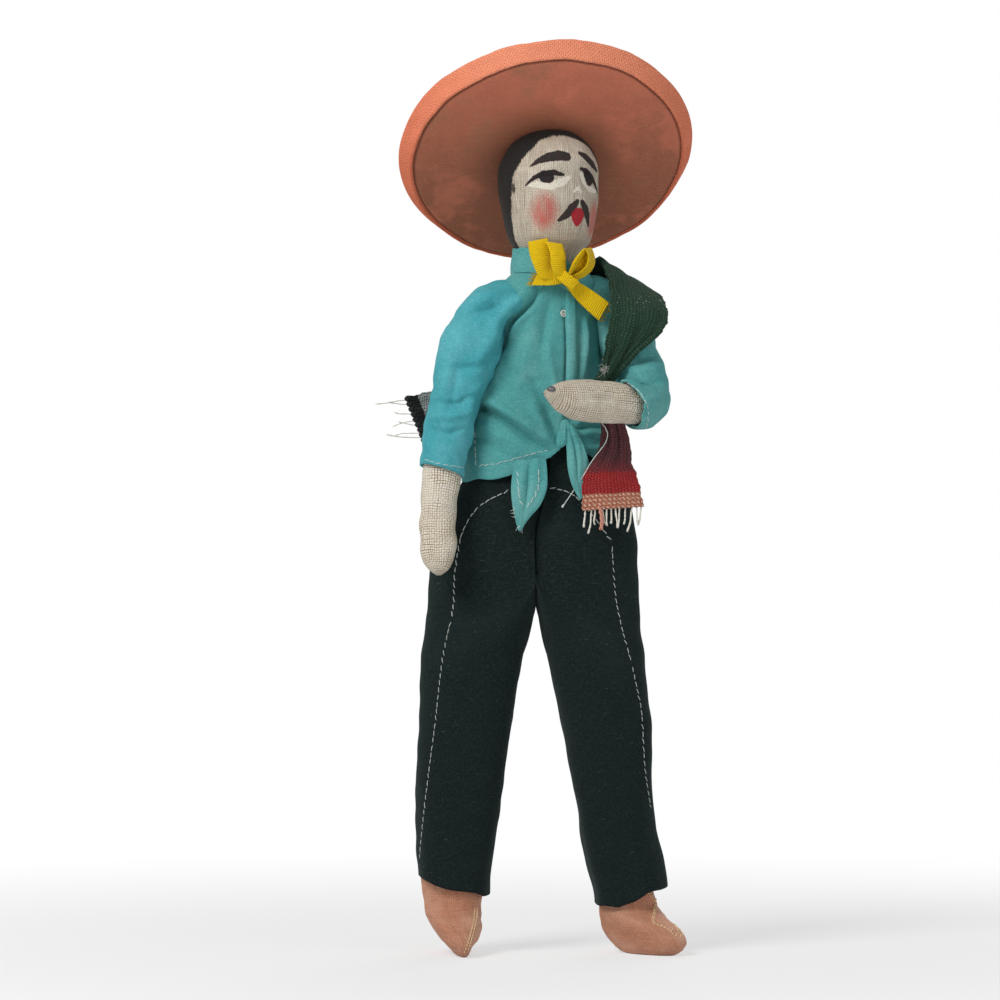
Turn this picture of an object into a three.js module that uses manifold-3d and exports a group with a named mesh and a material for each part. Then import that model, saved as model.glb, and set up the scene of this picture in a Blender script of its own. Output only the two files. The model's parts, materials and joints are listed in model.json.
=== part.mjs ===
// A cloth folk doll that stands on its soles: stuffed linen body, turquoise shirt, felt trousers,
// a ribbon bow, a striped sarape over the left shoulder and a wide-brimmed cloth hat.
//
// Millimetres, +Z up, the doll faces -Y, and its right hand is on the -X side. Heights are measured
// from the floor under the soles. Each piece is one closed mesh, and neighbours keep GAP between them.

import * as THREE from 'three';
import { mergeVertices } from 'three/addons/utils/BufferGeometryUtils.js';
import Module from 'manifold-3d';

const wasm = await Module();
wasm.setup();

// Clearances and cloth
const GAP = 0.3;             // between neighbouring pieces
const PLAY = 0.4;            // round a joint that turns
const SHIRT_CLOTH = 0.9;     // hemmed cotton of the shirt and the sleeves
const FELT = 1.3;            // felt of the trousers
const RIBBON = 0.6;          // grosgrain ribbon of the bow
const SARAPE_CLOTH = 1.7;    // the sarape, folded double
const GATHER = 1.6;          // what the sarape gains in thickness where it is gathered
const THREAD = 0.9;          // a fringe thread, across

// Hips, seat and waist
const HIP_Z = 118;           // height of the axis that both legs swing on; heights above follow it
const HIP_R = 12;            // round top of each leg, about that axis
const SEAT_BACK_SWING = 25;  // degrees that the seat leaves free behind
const SEAT_FRONT_SWING = 42; // and in front
const SEAT_RISE = 28;        // from the hips' axis to the top of the seat
const SEAT_TOP = HIP_Z + SEAT_RISE;
const SEAT_HALF = 24.2;      // half the width of the seat at the waist
const SEAT_FLARE = 4.6;      // what the seat gains on each side from the waist to the hips
const SEAT_DEPTH = 12.6;     // half of its depth
const WAIST_X = 4.6;         // the waist sits this far to the left of the hips

// Shirt and torso
const HEM_RISE = 21.5;       // from the hips' axis to the shirt's lower edge
const BELLY_RISE = 40;
const CHEST_RISE = 56;
const SHOULDER_RISE = 70;    // and to the top of the shoulders
const YOKE_H = 10;           // from there to the seam of the collar
const HEM_Z = HIP_Z + HEM_RISE;
const BELLY_Z = HIP_Z + BELLY_RISE;
const CHEST_Z = HIP_Z + CHEST_RISE;
const SHOULDER_Z = HIP_Z + SHOULDER_RISE;
const SHOULDER_DROP = 0.5;   // the shoulder joints lie this far below
const COLLAR_Z = SHOULDER_Z + YOKE_H;
const WAIST_EASE = 1.4;      // the shirt stands off the seat by this much at the sides
const WAIST_EASE_DEEP = 1.6; // and in front and behind
const HEM_HALF = SEAT_HALF + WAIST_EASE; // half widths of the shirt
const BELLY_HALF = 19.4;
const CHEST_HALF = 15.6;
const SHOULDER_HALF = 15.2;
const HEM_DEPTH = SEAT_DEPTH + WAIST_EASE_DEEP; // half depths
const BELLY_DEPTH = 13.4;
const CHEST_DEPTH = 12.4;
const SHOULDER_DEPTH = 10.8;
const NECK_X = 4.4;          // the neck stands to the left of the hips
const TURN = 18;             // degrees that the shoulders are turned to the left
const PLACKET_W = 2.8;
const PLACKET_T = 0.6;
const PLACKET_LOW = BELLY_Z - 1; // lower end of the placket
const BUTTON_R = 0.66;       // ring of thread that serves as a button
const BUTTON_WIRE = 0.42;
const BUTTON_Z = SHOULDER_Z - 2.1;
const KNOT_Z = HEM_Z + 11.5; // knot in the shirt tails
const KNOT_X = 9.4;
const KNOT_W = 2.4;          // half sizes of the knot
const KNOT_H = 3.1;
const KNOT_T = 1.7;
const TAIL_T = 1.1;
const TAIL_RIGHT_TIP = HEM_Z - 16;
const TAIL_RIGHT_W = 4.7;
const TAIL_LEFT_TIP = HEM_Z - 6.5;
const TAIL_LEFT_W = 2.5;

// Neck, collar and head
const NECK_R = 7.6;
const COLLAR_R = 10.3;       // inner radius at the seam
const COLLAR_TOP_R = 9.6;
const COLLAR_H = 6.8;
const HEAD_R = 14.2;
const CHIN_RISE = 8;         // from the collar's seam to the chin
const HEAD_H = 34.4;         // from the chin to the top
const CHIN_Z = COLLAR_Z + CHIN_RISE;
const HEAD_Z = CHIN_Z + 18;  // widest height of the head
const HEAD_TOP = CHIN_Z + HEAD_H;

// Bow
const BOW_Z = COLLAR_Z - 2.6;
const BOW_ANGLE = 8;         // degrees to the left of the shirt's front
const BOW_KNOT = 2.1;        // half size
const LOOP_OPEN = 1.2;       // half of the opening inside a loop
const LOOP_RIGHT_L = 9.6;
const LOOP_RIGHT_W = 7.6;
const LOOP_LEFT_L = 9.0;
const LOOP_LEFT_W = 4.6;
const TAIL_BOW_L = 13.4;
const TAIL_BOW_W = 5.6;
const END_BOW_L = 8.6;
const END_BOW_W = 3.6;

// Hat
const HAT_X = 3.7;           // centre of the brim's underside
const HAT_Y = 4;
const HAT_DROP = 9.4;        // below the top of the head
const HAT_Z = HEAD_TOP - HAT_DROP;
const HAT_TILT = 42;         // degrees that the brim tips back
const HAT_TURN = 9;
const BRIM_R = 39.4;
const BRIM_T = 1.3;
const LINING_T = 0.8;
const RIM_H = 5.8;           // height of the upturned rim along its slope
const RIM_FLARE = 31;        // degrees
const RIM_T = 1.3;
const CROWN_R = 15.4;
const CROWN_TOP_R = 8.6;
const CROWN_H = 30;

// Arms
const RIGHT_SPAN = 20.4;     // from the neck axis to the shoulder joints
const LEFT_SPAN = 17.2;
const SHOULDER_R = 7.9;      // round head of each sleeve
const SLEEVE_R = 8.1;        // half way down the upper sleeve
const ELBOW_R = 6.9;
const CUFF_R = 6.4;
const ARM_R = 5;             // stuffed arm inside the sleeve
const HAND_R = 5.4;
const WRIST_R = 4.7;
const HAND_T = 3.6;          // half thickness of the hand
const RIGHT_ELBOW = [-25.2, -10, SHOULDER_Z - 35];
const RIGHT_TIP = [-28, -19.6, SHOULDER_Z - 78];
const LEFT_ELBOW = [32.2, -11.8, SHOULDER_Z - 29.5];
const LEFT_TIP = [2.4, -33, SHOULDER_Z - 26.4];
const RIGHT_CUFF = 13;       // length of the lower sleeves, from the elbow
const LEFT_CUFF = 8.6;
const NAIL_R = 1.1;          // painted bead at the tip of the left hand
const RIGHT_BEND = 75;       // degrees that the elbows bend
const LEFT_BEND = 2;
const LEFT_UNBEND = 20;
const RIGHT_SWING = 90;      // degrees that the right arm swings forward at the shoulder

// Legs and feet
const LEG_OUT = 30.6;        // outer edge at the hips
const CROTCH_Z = HIP_Z - 16;
const LEG_DEPTH = 9.6;       // half depth at the hem
const LEG_PLAY = 1.6;        // room between the felt and the stuffed leg at the hem
const SIDES = [
  { name: 'right', side: -1, hemIn: 13.8, hemOut: 34.4, calfOut: 35.2, hemZ: 18.6, slope: -2.2, toe: -6 },
  { name: 'left', side: 1, hemIn: 16.6, hemOut: 37.6, calfOut: 34.6, hemZ: 16.6, slope: 2.6, toe: 50 },
];
const ANKLE_HALF = 9.2;
const SOLE_HALF = 3.6;
const FOOT_TOE = 20.5;       // from the ankle's axis to the toe
const FOOT_HEEL = 9;
const INSTEP_Z = 13.2;
const TUCK = 9;              // how far the feet reach up inside the hems

// Sarape
const SARAPE_W = 8.2;        // half width
const PINCH_W = 2.9;         // half width where it is gathered at the wrist
const FRINGE_L = 6.4;
const FRINGE_N = 11;
const BACK_FRINGE_N = 8;
const TUFT_R = 1.3;

// Materials
const paint = (colour, roughness = 0.9) =>
  new THREE.MeshStandardMaterial({ color: colour, roughness, metalness: 0 });
const LINEN = paint(0xc8b9a5);
const STUFFING = paint(0xd8cfc0);
const SHIRT = paint(0x4ba5aa);
const TROUSERS = paint(0x1c2628);
const CORAL = paint(0xe17355);
const TERRACOTTA = paint(0x874b3c);
const YELLOW = paint(0xebbe28, 0.7);
const GREEN = paint(0x2d3c32);
const CREAM = paint(0xdcd2b9);
const TAN = paint(0xaf6e55);
const DARK_BEAD = paint(0x2b2a2c, 0.4);

const doll = new THREE.Group();
const rad = THREE.MathUtils.degToRad;
const V = (a) => new THREE.Vector3(...a);

// Meshes and solids
function geometryOf(points, faces) {
  const geometry = new THREE.BufferGeometry();
  const numbers = points.flatMap((p) => [p.x, p.y, p.z]);
  geometry.setAttribute('position', new THREE.Float32BufferAttribute(numbers, 3));
  let volume = 0;
  for (const [a, b, c] of faces) {
    volume += points[a].dot(new THREE.Vector3().crossVectors(points[b], points[c]));
  }
  geometry.setIndex(volume < 0 ? faces.flatMap(([a, b, c]) => [a, c, b]) : faces.flat());
  return geometry;
}

// A closed skin over rings of equal count: caps at both ends.
function loft(rings) {
  const n = rings[0].length;
  const points = rings.flat();
  const faces = [];
  for (let i = 0; i + 1 < rings.length; i += 1) {
    for (let j = 0; j < n; j += 1) {
      const k = (j + 1) % n;
      faces.push([i * n + j, i * n + k, (i + 1) * n + k], [i * n + j, (i + 1) * n + k, (i + 1) * n + j]);
    }
  }
  for (const end of [0, rings.length - 1]) {
    const centre = rings[end].reduce((sum, p) => sum.add(p), new THREE.Vector3()).divideScalar(n);
    const c = points.push(centre) - 1;
    for (let j = 0; j < n; j += 1) {
      const a = end * n + j;
      const b = end * n + ((j + 1) % n);
      faces.push(end === 0 ? [c, b, a] : [c, a, b]);
    }
  }
  return geometryOf(points, faces);
}

// A slab between two grids of points, such as a folded cloth.
function slab(front, back) {
  const rows = front.length;
  const cols = front[0].length;
  const points = [...front.flat(), ...back.flat()];
  const at = (layer, i, j) => layer * rows * cols + i * cols + j;
  const faces = [];
  for (let i = 0; i + 1 < rows; i += 1) {
    for (let j = 0; j + 1 < cols; j += 1) {
      for (const layer of [0, 1]) {
        const q = [at(layer, i, j), at(layer, i, j + 1), at(layer, i + 1, j + 1), at(layer, i + 1, j)];
        const [a, b, c, d] = layer === 0 ? q : [...q].reverse();
        faces.push([a, b, c], [a, c, d]);
      }
    }
  }
  const border = [];
  for (let j = 0; j < cols - 1; j += 1) border.push([0, j]);
  for (let i = 0; i < rows - 1; i += 1) border.push([i, cols - 1]);
  for (let j = cols - 1; j > 0; j -= 1) border.push([rows - 1, j]);
  for (let i = rows - 1; i > 0; i -= 1) border.push([i, 0]);
  border.forEach(([i, j], s) => {
    const [k, l] = border[(s + 1) % border.length];
    faces.push([at(0, k, l), at(0, i, j), at(1, i, j)], [at(0, k, l), at(1, i, j), at(1, k, l)]);
  });
  return geometryOf(points, faces);
}

function solid(geometry) {
  const bare = geometry.clone();
  bare.deleteAttribute('normal');
  bare.deleteAttribute('uv');
  const merged = mergeVertices(bare, 1e-4);
  return new wasm.Manifold(new wasm.Mesh({
    numProp: 3,
    vertProperties: new Float32Array(merged.attributes.position.array),
    triVerts: new Uint32Array(merged.index.array),
  }));
}

function surface(manifold) {
  const mesh = manifold.getMesh();
  const geometry = new THREE.BufferGeometry();
  geometry.setAttribute('position', new THREE.BufferAttribute(new Float32Array(mesh.vertProperties), 3));
  geometry.setIndex([...mesh.triVerts]);
  return geometry;
}

// The largest piece that is left after cuts.
function cut(body, ...tools) {
  let left = body;
  for (const tool of tools) left = left.subtract(tool);
  const pieces = left.decompose();
  return pieces.sort((a, b) => b.volume() - a.volume())[0];
}

function place(geometry, ...matrices) {
  const moved = geometry.clone();
  for (const matrix of matrices) moved.applyMatrix4(matrix);
  return moved;
}

function turned(manifold, pivot, axis, degrees) {
  const m = new THREE.Matrix4().makeTranslation(...pivot)
    .multiply(new THREE.Matrix4().makeRotationAxis(V(axis).normalize(), rad(degrees)))
    .multiply(new THREE.Matrix4().makeTranslation(-pivot[0], -pivot[1], -pivot[2]));
  return solid(place(surface(manifold), m));
}

function ball(centre, radius, across = 14) {
  const sphere = new THREE.SphereGeometry(radius, across, across / 2);
  return solid(sphere.rotateX(Math.PI / 2).translate(...centre));
}

function add(parent, name, geometry, material) {
  const flat = geometry.index ? geometry.toNonIndexed() : geometry;
  flat.computeVertexNormals();
  const mesh = new THREE.Mesh(flat, material);
  mesh.name = name;
  parent.add(mesh);
  return mesh;
}

// Smooth values between rows that are sorted by their first entry.
function between(rows, t) {
  const last = rows.length - 1;
  const clamped = THREE.MathUtils.clamp(t, rows[0][0], rows[last][0]);
  let i = 0;
  while (i < last - 1 && rows[i + 1][0] < clamped) i += 1;
  const f = (clamped - rows[i][0]) / (rows[i + 1][0] - rows[i][0]);
  const before = rows[Math.max(i - 1, 0)];
  const after = rows[Math.min(i + 2, last)];
  return rows[i].map((_, k) => {
    const [p, a, b, q] = [before[k], rows[i][k], rows[i + 1][k], after[k]];
    const m0 = i === 0 ? b - a : (b - p) / 2;
    const m1 = i + 2 > last ? b - a : (q - a) / 2;
    const f2 = f * f;
    const f3 = f2 * f;
    return (2 * f3 - 3 * f2 + 1) * a + (f3 - 2 * f2 + f) * m0 + (-2 * f3 + 3 * f2) * b + (f3 - f2) * m1;
  });
}

const steps = (from, to, count) =>
  Array.from({ length: count + 1 }, (_, i) => from + ((to - from) * i) / count);

// Upright forms: rows of height, x, y, half width, half depth and turn
function ringPoint(row, angle, grow = 0) {
  const [z, x, y, a, b, turn] = row;
  const lx = (a + grow) * Math.cos(angle);
  const ly = (b + grow) * Math.sin(angle);
  const c = Math.cos(rad(turn));
  const s = Math.sin(rad(turn));
  return new THREE.Vector3(x + lx * c - ly * s, y + lx * s + ly * c, z);
}

function upright(rows, heights, sides, grow = 0) {
  const n = typeof grow === 'function' ? grow : () => grow;
  return loft(heights.map((z) => {
    const row = between(rows, z);
    row[0] = z;
    return Array.from({ length: sides }, (_, j) => ringPoint(row, (2 * Math.PI * j) / sides, n(z)));
  }));
}

// Limbs: rows of distance along a bent line, half width and half thickness
function limb(from, to, rows, count, sides, sideways = [1, 0, 0], grow = 0) {
  const start = V(from);
  const along = V(to).sub(start).normalize();
  const across = V(sideways).addScaledVector(along, -V(sideways).dot(along)).normalize();
  const thick = new THREE.Vector3().crossVectors(along, across);
  return loft(steps(rows[0][0], rows[rows.length - 1][0], count).map((d) => {
    const [, a, b] = between(rows, d);
    return Array.from({ length: sides }, (_, j) => {
      const t = (2 * Math.PI * j) / sides;
      return start.clone().addScaledVector(along, d)
        .addScaledVector(across, Math.max(a + grow, 0.2) * Math.cos(t))
        .addScaledVector(thick, Math.max(b + grow, 0.2) * Math.sin(t));
    });
  }));
}

// Shirt outline
const shirtRows = [
  [HEM_Z, WAIST_X + 0.6, 0, HEM_HALF, HEM_DEPTH, TURN / 5],
  [SEAT_TOP + 1, WAIST_X + 0.4, 0, HEM_HALF - 0.9, HEM_DEPTH - 0.1, TURN / 3],
  [BELLY_Z, NECK_X - 1, 0, BELLY_HALF, BELLY_DEPTH, TURN / 2],
  [CHEST_Z, NECK_X - 0.2, 0, CHEST_HALF, CHEST_DEPTH, TURN * 0.8],
  [SHOULDER_Z, NECK_X, 0, SHOULDER_HALF, SHOULDER_DEPTH, TURN],
  [COLLAR_Z - 3.5, NECK_X, 0, (SHOULDER_HALF + COLLAR_R) / 2 + 1, (SHOULDER_DEPTH + COLLAR_R) / 2, TURN],
  [COLLAR_Z, NECK_X, 0, COLLAR_R + SHIRT_CLOTH, COLLAR_R + SHIRT_CLOTH - 0.6, TURN],
];
const FRONT = -Math.PI / 2;
const onShirt = (z, angle, off) => {
  const row = between(shirtRows, z);
  row[0] = z;
  return ringPoint(row, FRONT + rad(angle), off);
};
const shoulder = (side) => {
  const span = side < 0 ? -RIGHT_SPAN : LEFT_SPAN;
  return [NECK_X + span * Math.cos(rad(TURN)), span * Math.sin(rad(TURN)), SHOULDER_Z - SHOULDER_DROP];
};
const torsoAxis = [Math.cos(rad(TURN)), Math.sin(rad(TURN)), 0];

const torso = new THREE.Group();
doll.add(torso);

// Sweep that both legs need under the seat
function legRoom(radius) {
  const width = 4 * LEG_OUT;
  const box = new THREE.BoxGeometry(width, 2 * radius, 3 * HIP_R).translate(0, 0, -1.5 * HIP_R);
  let room = solid(new THREE.CylinderGeometry(radius, radius, width, 32).rotateZ(Math.PI / 2));
  for (const swing of steps(-SEAT_FRONT_SWING, SEAT_BACK_SWING, 3)) {
    room = room.add(solid(place(box, new THREE.Matrix4().makeRotationX(rad(swing)))));
  }
  return solid(surface(room).translate(0, 0, HIP_Z));
}

// Arms
const distance = (a, b) => V(a).distanceTo(V(b));

function armSolids(side) {
  const from = shoulder(side);
  const elbow = side < 0 ? RIGHT_ELBOW : LEFT_ELBOW;
  const tip = side < 0 ? RIGHT_TIP : LEFT_TIP;
  const cuff = side < 0 ? RIGHT_CUFF : LEFT_CUFF;
  const upper = distance(from, elbow);
  const lower = distance(elbow, tip);
  const sideways = side < 0 ? [1, 0, 0] : [0, 0, 1];
  const sleeveRows = [
    [0, SHOULDER_R - 0.3, SHOULDER_R - 0.3],
    [upper * 0.45, SLEEVE_R, SLEEVE_R],
    [upper, ELBOW_R + 0.4, ELBOW_R + 0.4],
  ];
  const armRows = [
    [2, 2.6, 2.6], [4, ARM_R, ARM_R], [upper * 0.5, ARM_R + 0.4, ARM_R + 0.4], [upper, ARM_R, ARM_R],
  ];
  const lowRows = [[0, ELBOW_R, ELBOW_R], [cuff * 0.6, CUFF_R + 0.2, CUFF_R + 0.2], [cuff, CUFF_R, CUFF_R]];
  const handRows = [
    [-3.4, 1.6, 1.4],
    [-1, ARM_R - 0.6, ARM_R - 0.8],
    [cuff, ARM_R + 0.1, ARM_R - 0.6],
    [lower * 0.58, WRIST_R + 0.2, HAND_T + 0.4],
    [lower * 0.76, HAND_R, HAND_T],
    [lower * 0.92, HAND_R * 0.72, HAND_T * 0.75],
    [lower, 0.9, 0.8],
  ];
  const limbs = (rows, count, sides, grow) => solid(limb(elbow, tip, rows, count, sides, sideways, grow));
  const upperLimb = (rows, count, sides, grow) =>
    solid(limb(from, elbow, rows, count, sides, sideways, grow));
  const fold = new THREE.Vector3().crossVectors(V(elbow).sub(V(from)), V(tip).sub(V(elbow))).normalize();
  const axis = side < 0 ? [-1, 0, 0] : fold.toArray();

  // The lower sleeve is a cuff that closes in a ball inside the end of the upper one.
  const hollowRows = [[-ELBOW_R + 2, 2.4, 2.4], ...lowRows, [cuff + 2, CUFF_R, CUFF_R]];
  const hollowLow = limbs(hollowRows, 4, 12, -SHIRT_CLOTH);
  const handRoom = limbs(handRows, 12, 12, GAP);
  const low = cut(limbs(lowRows, 2, 14, 0).add(ball(elbow, ELBOW_R)), hollowLow, handRoom);
  const room = limbs([[0, ELBOW_R - 0.4, ELBOW_R - 0.4], [cuff, CUFF_R, CUFF_R]], 1, 10, PLAY * 1.6);
  const swings = side < 0 ? steps(0, RIGHT_BEND, 2) : steps(-LEFT_UNBEND, LEFT_BEND, 1);
  const sweep = swings.reduce((all, d) => all.add(turned(room, elbow, axis, d)), ball(elbow, ELBOW_R + PLAY));
  const hollowUp = upperLimb([[1.2, ARM_R + 1, ARM_R + 1], ...sleeveRows.slice(1),
    [upper + 3, ELBOW_R + 0.4, ELBOW_R + 0.4]], 4, 12, -SHIRT_CLOTH);
  const hand = limbs(handRows, 12, 12, 0);
  const grown = upperLimb(sleeveRows, 2, 12, PLAY).add(ball(from, SHOULDER_R + PLAY)).add(sweep);
  const swung = upperLimb(sleeveRows, 2, 12, PLAY * 1.5);
  return {
    from, elbow, tip, axis, hand, low,
    sleeve: cut(upperLimb(sleeveRows, 4, 14, 0).add(ball(from, SHOULDER_R)), hollowUp, sweep),
    arm: cut(upperLimb(armRows, 4, 10, 0), sweep),
    grown: side < 0 ? steps(RIGHT_SWING / 9, RIGHT_SWING, 5).reduce((all, d) =>
      all.add(turned(swung, from, torsoAxis, -d)), grown) : grown,
  };
}

const arms = { right: armSolids(-1), left: armSolids(1) };
const forearms = {};
for (const [name, arm] of Object.entries(arms)) {
  const upper = new THREE.Group();
  forearms[name] = new THREE.Group();
  torso.add(upper);
  upper.add(forearms[name]);
  add(upper, `${name}_sleeve_upper`, surface(arm.sleeve), SHIRT);
  add(upper, `${name}_upper_arm`, surface(arm.arm), STUFFING);
  add(forearms[name], `${name}_sleeve_lower`, surface(arm.low), SHIRT);
  add(forearms[name], `${name}_forearm`, surface(arm.hand), LINEN);
}

// Torso and seat
const coreRows = shirtRows.map(([z, x, y, a, b, turn]) => [z, x, y, a - 2.2, b - 1.6, turn]);
coreRows[0] = [HIP_Z, WAIST_X * 0.6, 0, SEAT_HALF - FELT - GAP - 1, SEAT_DEPTH - FELT - GAP, 0];
coreRows[1] = [SEAT_TOP, WAIST_X, 0, SEAT_HALF - FELT - GAP - 0.6, SEAT_DEPTH - FELT - GAP - 0.2, TURN / 3];
const CORE_TOP = COLLAR_Z - 1.6;
const seatHeights = steps(HIP_Z, SEAT_TOP, 2);
const core = solid(upright(coreRows, [...seatHeights, ...steps(SEAT_TOP + 5, CORE_TOP, 5)], 20));
const coreGrown = solid(upright(coreRows, [HIP_Z - 1, ...seatHeights, SEAT_TOP + 2.5], 20, GAP));
const torsoBody = cut(core, legRoom(HIP_R + PLAY + FELT + GAP), arms.right.grown, arms.left.grown);
add(torso, 'torso_body', surface(torsoBody), STUFFING);

const seatRows = [
  [HIP_Z - 8, 0.2, 0, LEG_OUT - 0.4, SEAT_DEPTH, 0],
  [HIP_Z + 4, 1.4, 0, SEAT_HALF + SEAT_FLARE, SEAT_DEPTH + 0.4, 0],
  [HEM_Z - 5, WAIST_X - 1.2, 0, SEAT_HALF + 1.2, SEAT_DEPTH + 0.1, TURN / 6],
  [HEM_Z, WAIST_X + 0.4, 0, SEAT_HALF - 0.2, SEAT_DEPTH - 0.1, TURN / 5],
  [SEAT_TOP, WAIST_X + 0.4, 0, SEAT_HALF - 0.8, SEAT_DEPTH - 0.3, TURN / 3],
];
const seatOuter = solid(upright(seatRows, steps(HIP_Z - 8, SEAT_TOP, 7), 28));
const seat = cut(seatOuter, coreGrown, legRoom(HIP_R + PLAY), arms.right.grown);
add(torso, 'trousers_seat', surface(seat), TROUSERS);

// Shirt: two fronts and a back
function shirtPanel(from, to, cols) {
  const heights = [...steps(HEM_Z, SHOULDER_Z, 6), COLLAR_Z - 4, COLLAR_Z];
  const seam = GAP / SHOULDER_DEPTH / 2;
  const angles = steps(rad(from) + seam, rad(to) - seam, cols);
  const grid = (off) => heights.map((z) => angles.map((a) => {
    const row = between(shirtRows, z);
    row[0] = z;
    return ringPoint(row, FRONT + a, off);
  }));
  return solid(slab(grid(0), grid(-SHIRT_CLOTH)));
}
const shirtTools = [arms.right.grown, arms.left.grown];
const panels = { shirt_front_right: [-90, 0, 7], shirt_front_left: [0, 90, 7], shirt_back: [90, 270, 12] };
for (const [name, [from, to, cols]] of Object.entries(panels)) {
  add(torso, name, surface(cut(shirtPanel(from, to, cols), ...shirtTools)), SHIRT);
}

// Placket, button, knot and tails of the shirt
const tilted = (centre, ...angles) => new THREE.Matrix4().makeTranslation(...centre)
  .multiply(new THREE.Matrix4().makeRotationFromEuler(new THREE.Euler(...angles.map(rad), 'ZYX')));

const plackets = steps(PLACKET_LOW, COLLAR_Z - 1, 10);
const placketGrid = (off) => plackets.map((z) => {
  const row = between(shirtRows, z);
  row[0] = z;
  const half = PLACKET_W / 2 / (row[3] + off);
  return steps(-half, half, 2).map((a) => ringPoint(row, FRONT + rad(2) + a, off));
});
const placket = slab(placketGrid(GAP + PLACKET_T), placketGrid(GAP));

const buttonAt = onShirt(BUTTON_Z, -1, GAP * 2 + PLACKET_T + BUTTON_WIRE / 2);
const button = place(new THREE.TorusGeometry(BUTTON_R, BUTTON_WIRE / 2, 5, 10),
  tilted(buttonAt.toArray(), 90, 0, TURN));
add(torso, 'placket', placket, SHIRT);
add(torso, 'thread_button', button, CREAM);

// A strip of cloth along rows of centre, half width as a vector, and gain in thickness. The cloth may be
// laid on what is under it, point by point.
function strip(rows, count, cols, thickness, fold = 0, lay = null) {
  const line = rows.map((row, i) => [i, ...row]);
  const fine = steps(0, rows.length - 1, count).map((t) => between(line, t).slice(1));
  const grid = fine.map(([x, y, z, wx, wy, wz, gain], i) => {
    const c = new THREE.Vector3(x, y, z);
    const w = new THREE.Vector3(wx, wy, wz);
    const [p, q] = [fine[Math.max(i - 1, 0)], fine[Math.min(i + 1, fine.length - 1)]];
    const along = new THREE.Vector3(q[0] - p[0], q[1] - p[1], q[2] - p[2]);
    const normal = new THREE.Vector3().crossVectors(w, along).normalize();
    return steps(-1, 1, cols).map((u) => {
      const at = c.clone().addScaledVector(w, u).addScaledVector(normal, fold * Math.cos(u * Math.PI * 2));
      const half = (thickness + gain) / 2;
      if (lay) lay(at, half);
      return { at, normal, half };
    });
  });
  const side = (s) => grid.map((row) =>
    row.map(({ at, normal, half }) => at.clone().addScaledVector(normal, s * half)));
  return slab(side(1), side(-1));
}

const front = (z, x, off) => {
  const row = between(shirtRows, Math.max(z, HEM_Z));
  const t = THREE.MathUtils.clamp((x - row[1]) / row[3], -0.98, 0.98);
  return -row[4] * Math.sqrt(1 - t * t) + (x - row[1]) * Math.sin(rad(row[5])) - off;
};
const knotY = front(KNOT_Z, KNOT_X, GAP + KNOT_T);
const knot = place(new THREE.SphereGeometry(1, 12, 8), new THREE.Matrix4().makeScale(KNOT_W, KNOT_T, KNOT_H),
  tilted([KNOT_X, knotY, KNOT_Z], 0, -12, TURN / 2));
const leaf = (x0, z0, x1, tipZ, w, off) => strip([
  [x0, front(z0, x0, off + TAIL_T * 0.4), z0, w * 0.55, 0, 0.4, 0],
  [x0 + (x1 - x0) * 0.3, front(z0 - 4, x0, off + TAIL_T + 0.3), z0 + (tipZ - z0) * 0.25, w, 0, 0.3, 0.2],
  [x0 + (x1 - x0) * 0.6, front(HEM_Z, x0, off + TAIL_T + 0.5), z0 + (tipZ - z0) * 0.6, w * 0.72, 0, 0, 0.2],
  [x1, front(HEM_Z, x1, off + TAIL_T + 0.2), tipZ, 0.5, 0, 0, -0.3],
], 7, 4, TAIL_T, 0.25);
const tailRight = leaf(KNOT_X - 10.8, HEM_Z + 3.6, KNOT_X - 13.6, TAIL_RIGHT_TIP, TAIL_RIGHT_W, GAP + 0.1);
const tailLeft = leaf(KNOT_X + 1, KNOT_Z - KNOT_H - 1, KNOT_X + 2.2, TAIL_LEFT_TIP, TAIL_LEFT_W, GAP + 0.4);
add(torso, 'shirt_knot', knot, SHIRT);
add(torso, 'shirt_tail_right', tailRight, SHIRT);
add(torso, 'shirt_tail_left', tailLeft, SHIRT);

// Collar
const collar = new THREE.LatheGeometry([
  [COLLAR_R, COLLAR_Z + GAP], [COLLAR_R + SHIRT_CLOTH, COLLAR_Z + GAP],
  [(COLLAR_R + COLLAR_TOP_R) / 2 + SHIRT_CLOTH + 0.1, COLLAR_Z + COLLAR_H / 2],
  [COLLAR_TOP_R + SHIRT_CLOTH, COLLAR_Z + COLLAR_H], [COLLAR_TOP_R, COLLAR_Z + COLLAR_H],
  [(COLLAR_R + COLLAR_TOP_R) / 2 + 0.1, COLLAR_Z + COLLAR_H / 2], [COLLAR_R, COLLAR_Z + GAP],
].map(([r, z]) => new THREE.Vector2(r, z)), 28).rotateX(Math.PI / 2).translate(NECK_X, 0, 0);
add(torso, 'collar', surface(solid(collar)), SHIRT);

// Head and hat
const NECK_LOW = CORE_TOP + GAP;
const headProfile = (grow) => {
  const rows = [
    [NECK_LOW, NECK_R], [CHIN_Z - 4, NECK_R], [CHIN_Z, NECK_R + 1.4], [CHIN_Z + 3, HEAD_R - 3.4],
    [CHIN_Z + 8, HEAD_R - 1.2], [HEAD_Z, HEAD_R], [HEAD_Z + 6, HEAD_R - 0.5], [HEAD_TOP - 5, HEAD_R - 3.4],
    [HEAD_TOP - 1.8, HEAD_R - 7.2], [HEAD_TOP, 1.2],
  ];
  const line = steps(NECK_LOW, HEAD_TOP, 15).map((z) => {
    const [, r] = between(rows, z);
    return new THREE.Vector2(r + grow, z + (z > HEAD_Z ? grow : 0));
  });
  return [new THREE.Vector2(0, line[0].y), ...line, new THREE.Vector2(0, HEAD_TOP + grow + 0.1)];
};
const headShape = (grow) =>
  new THREE.LatheGeometry(headProfile(grow), 24).rotateX(Math.PI / 2).translate(NECK_X, 0, 0);
const head = new THREE.Group();
torso.add(head);
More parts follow.
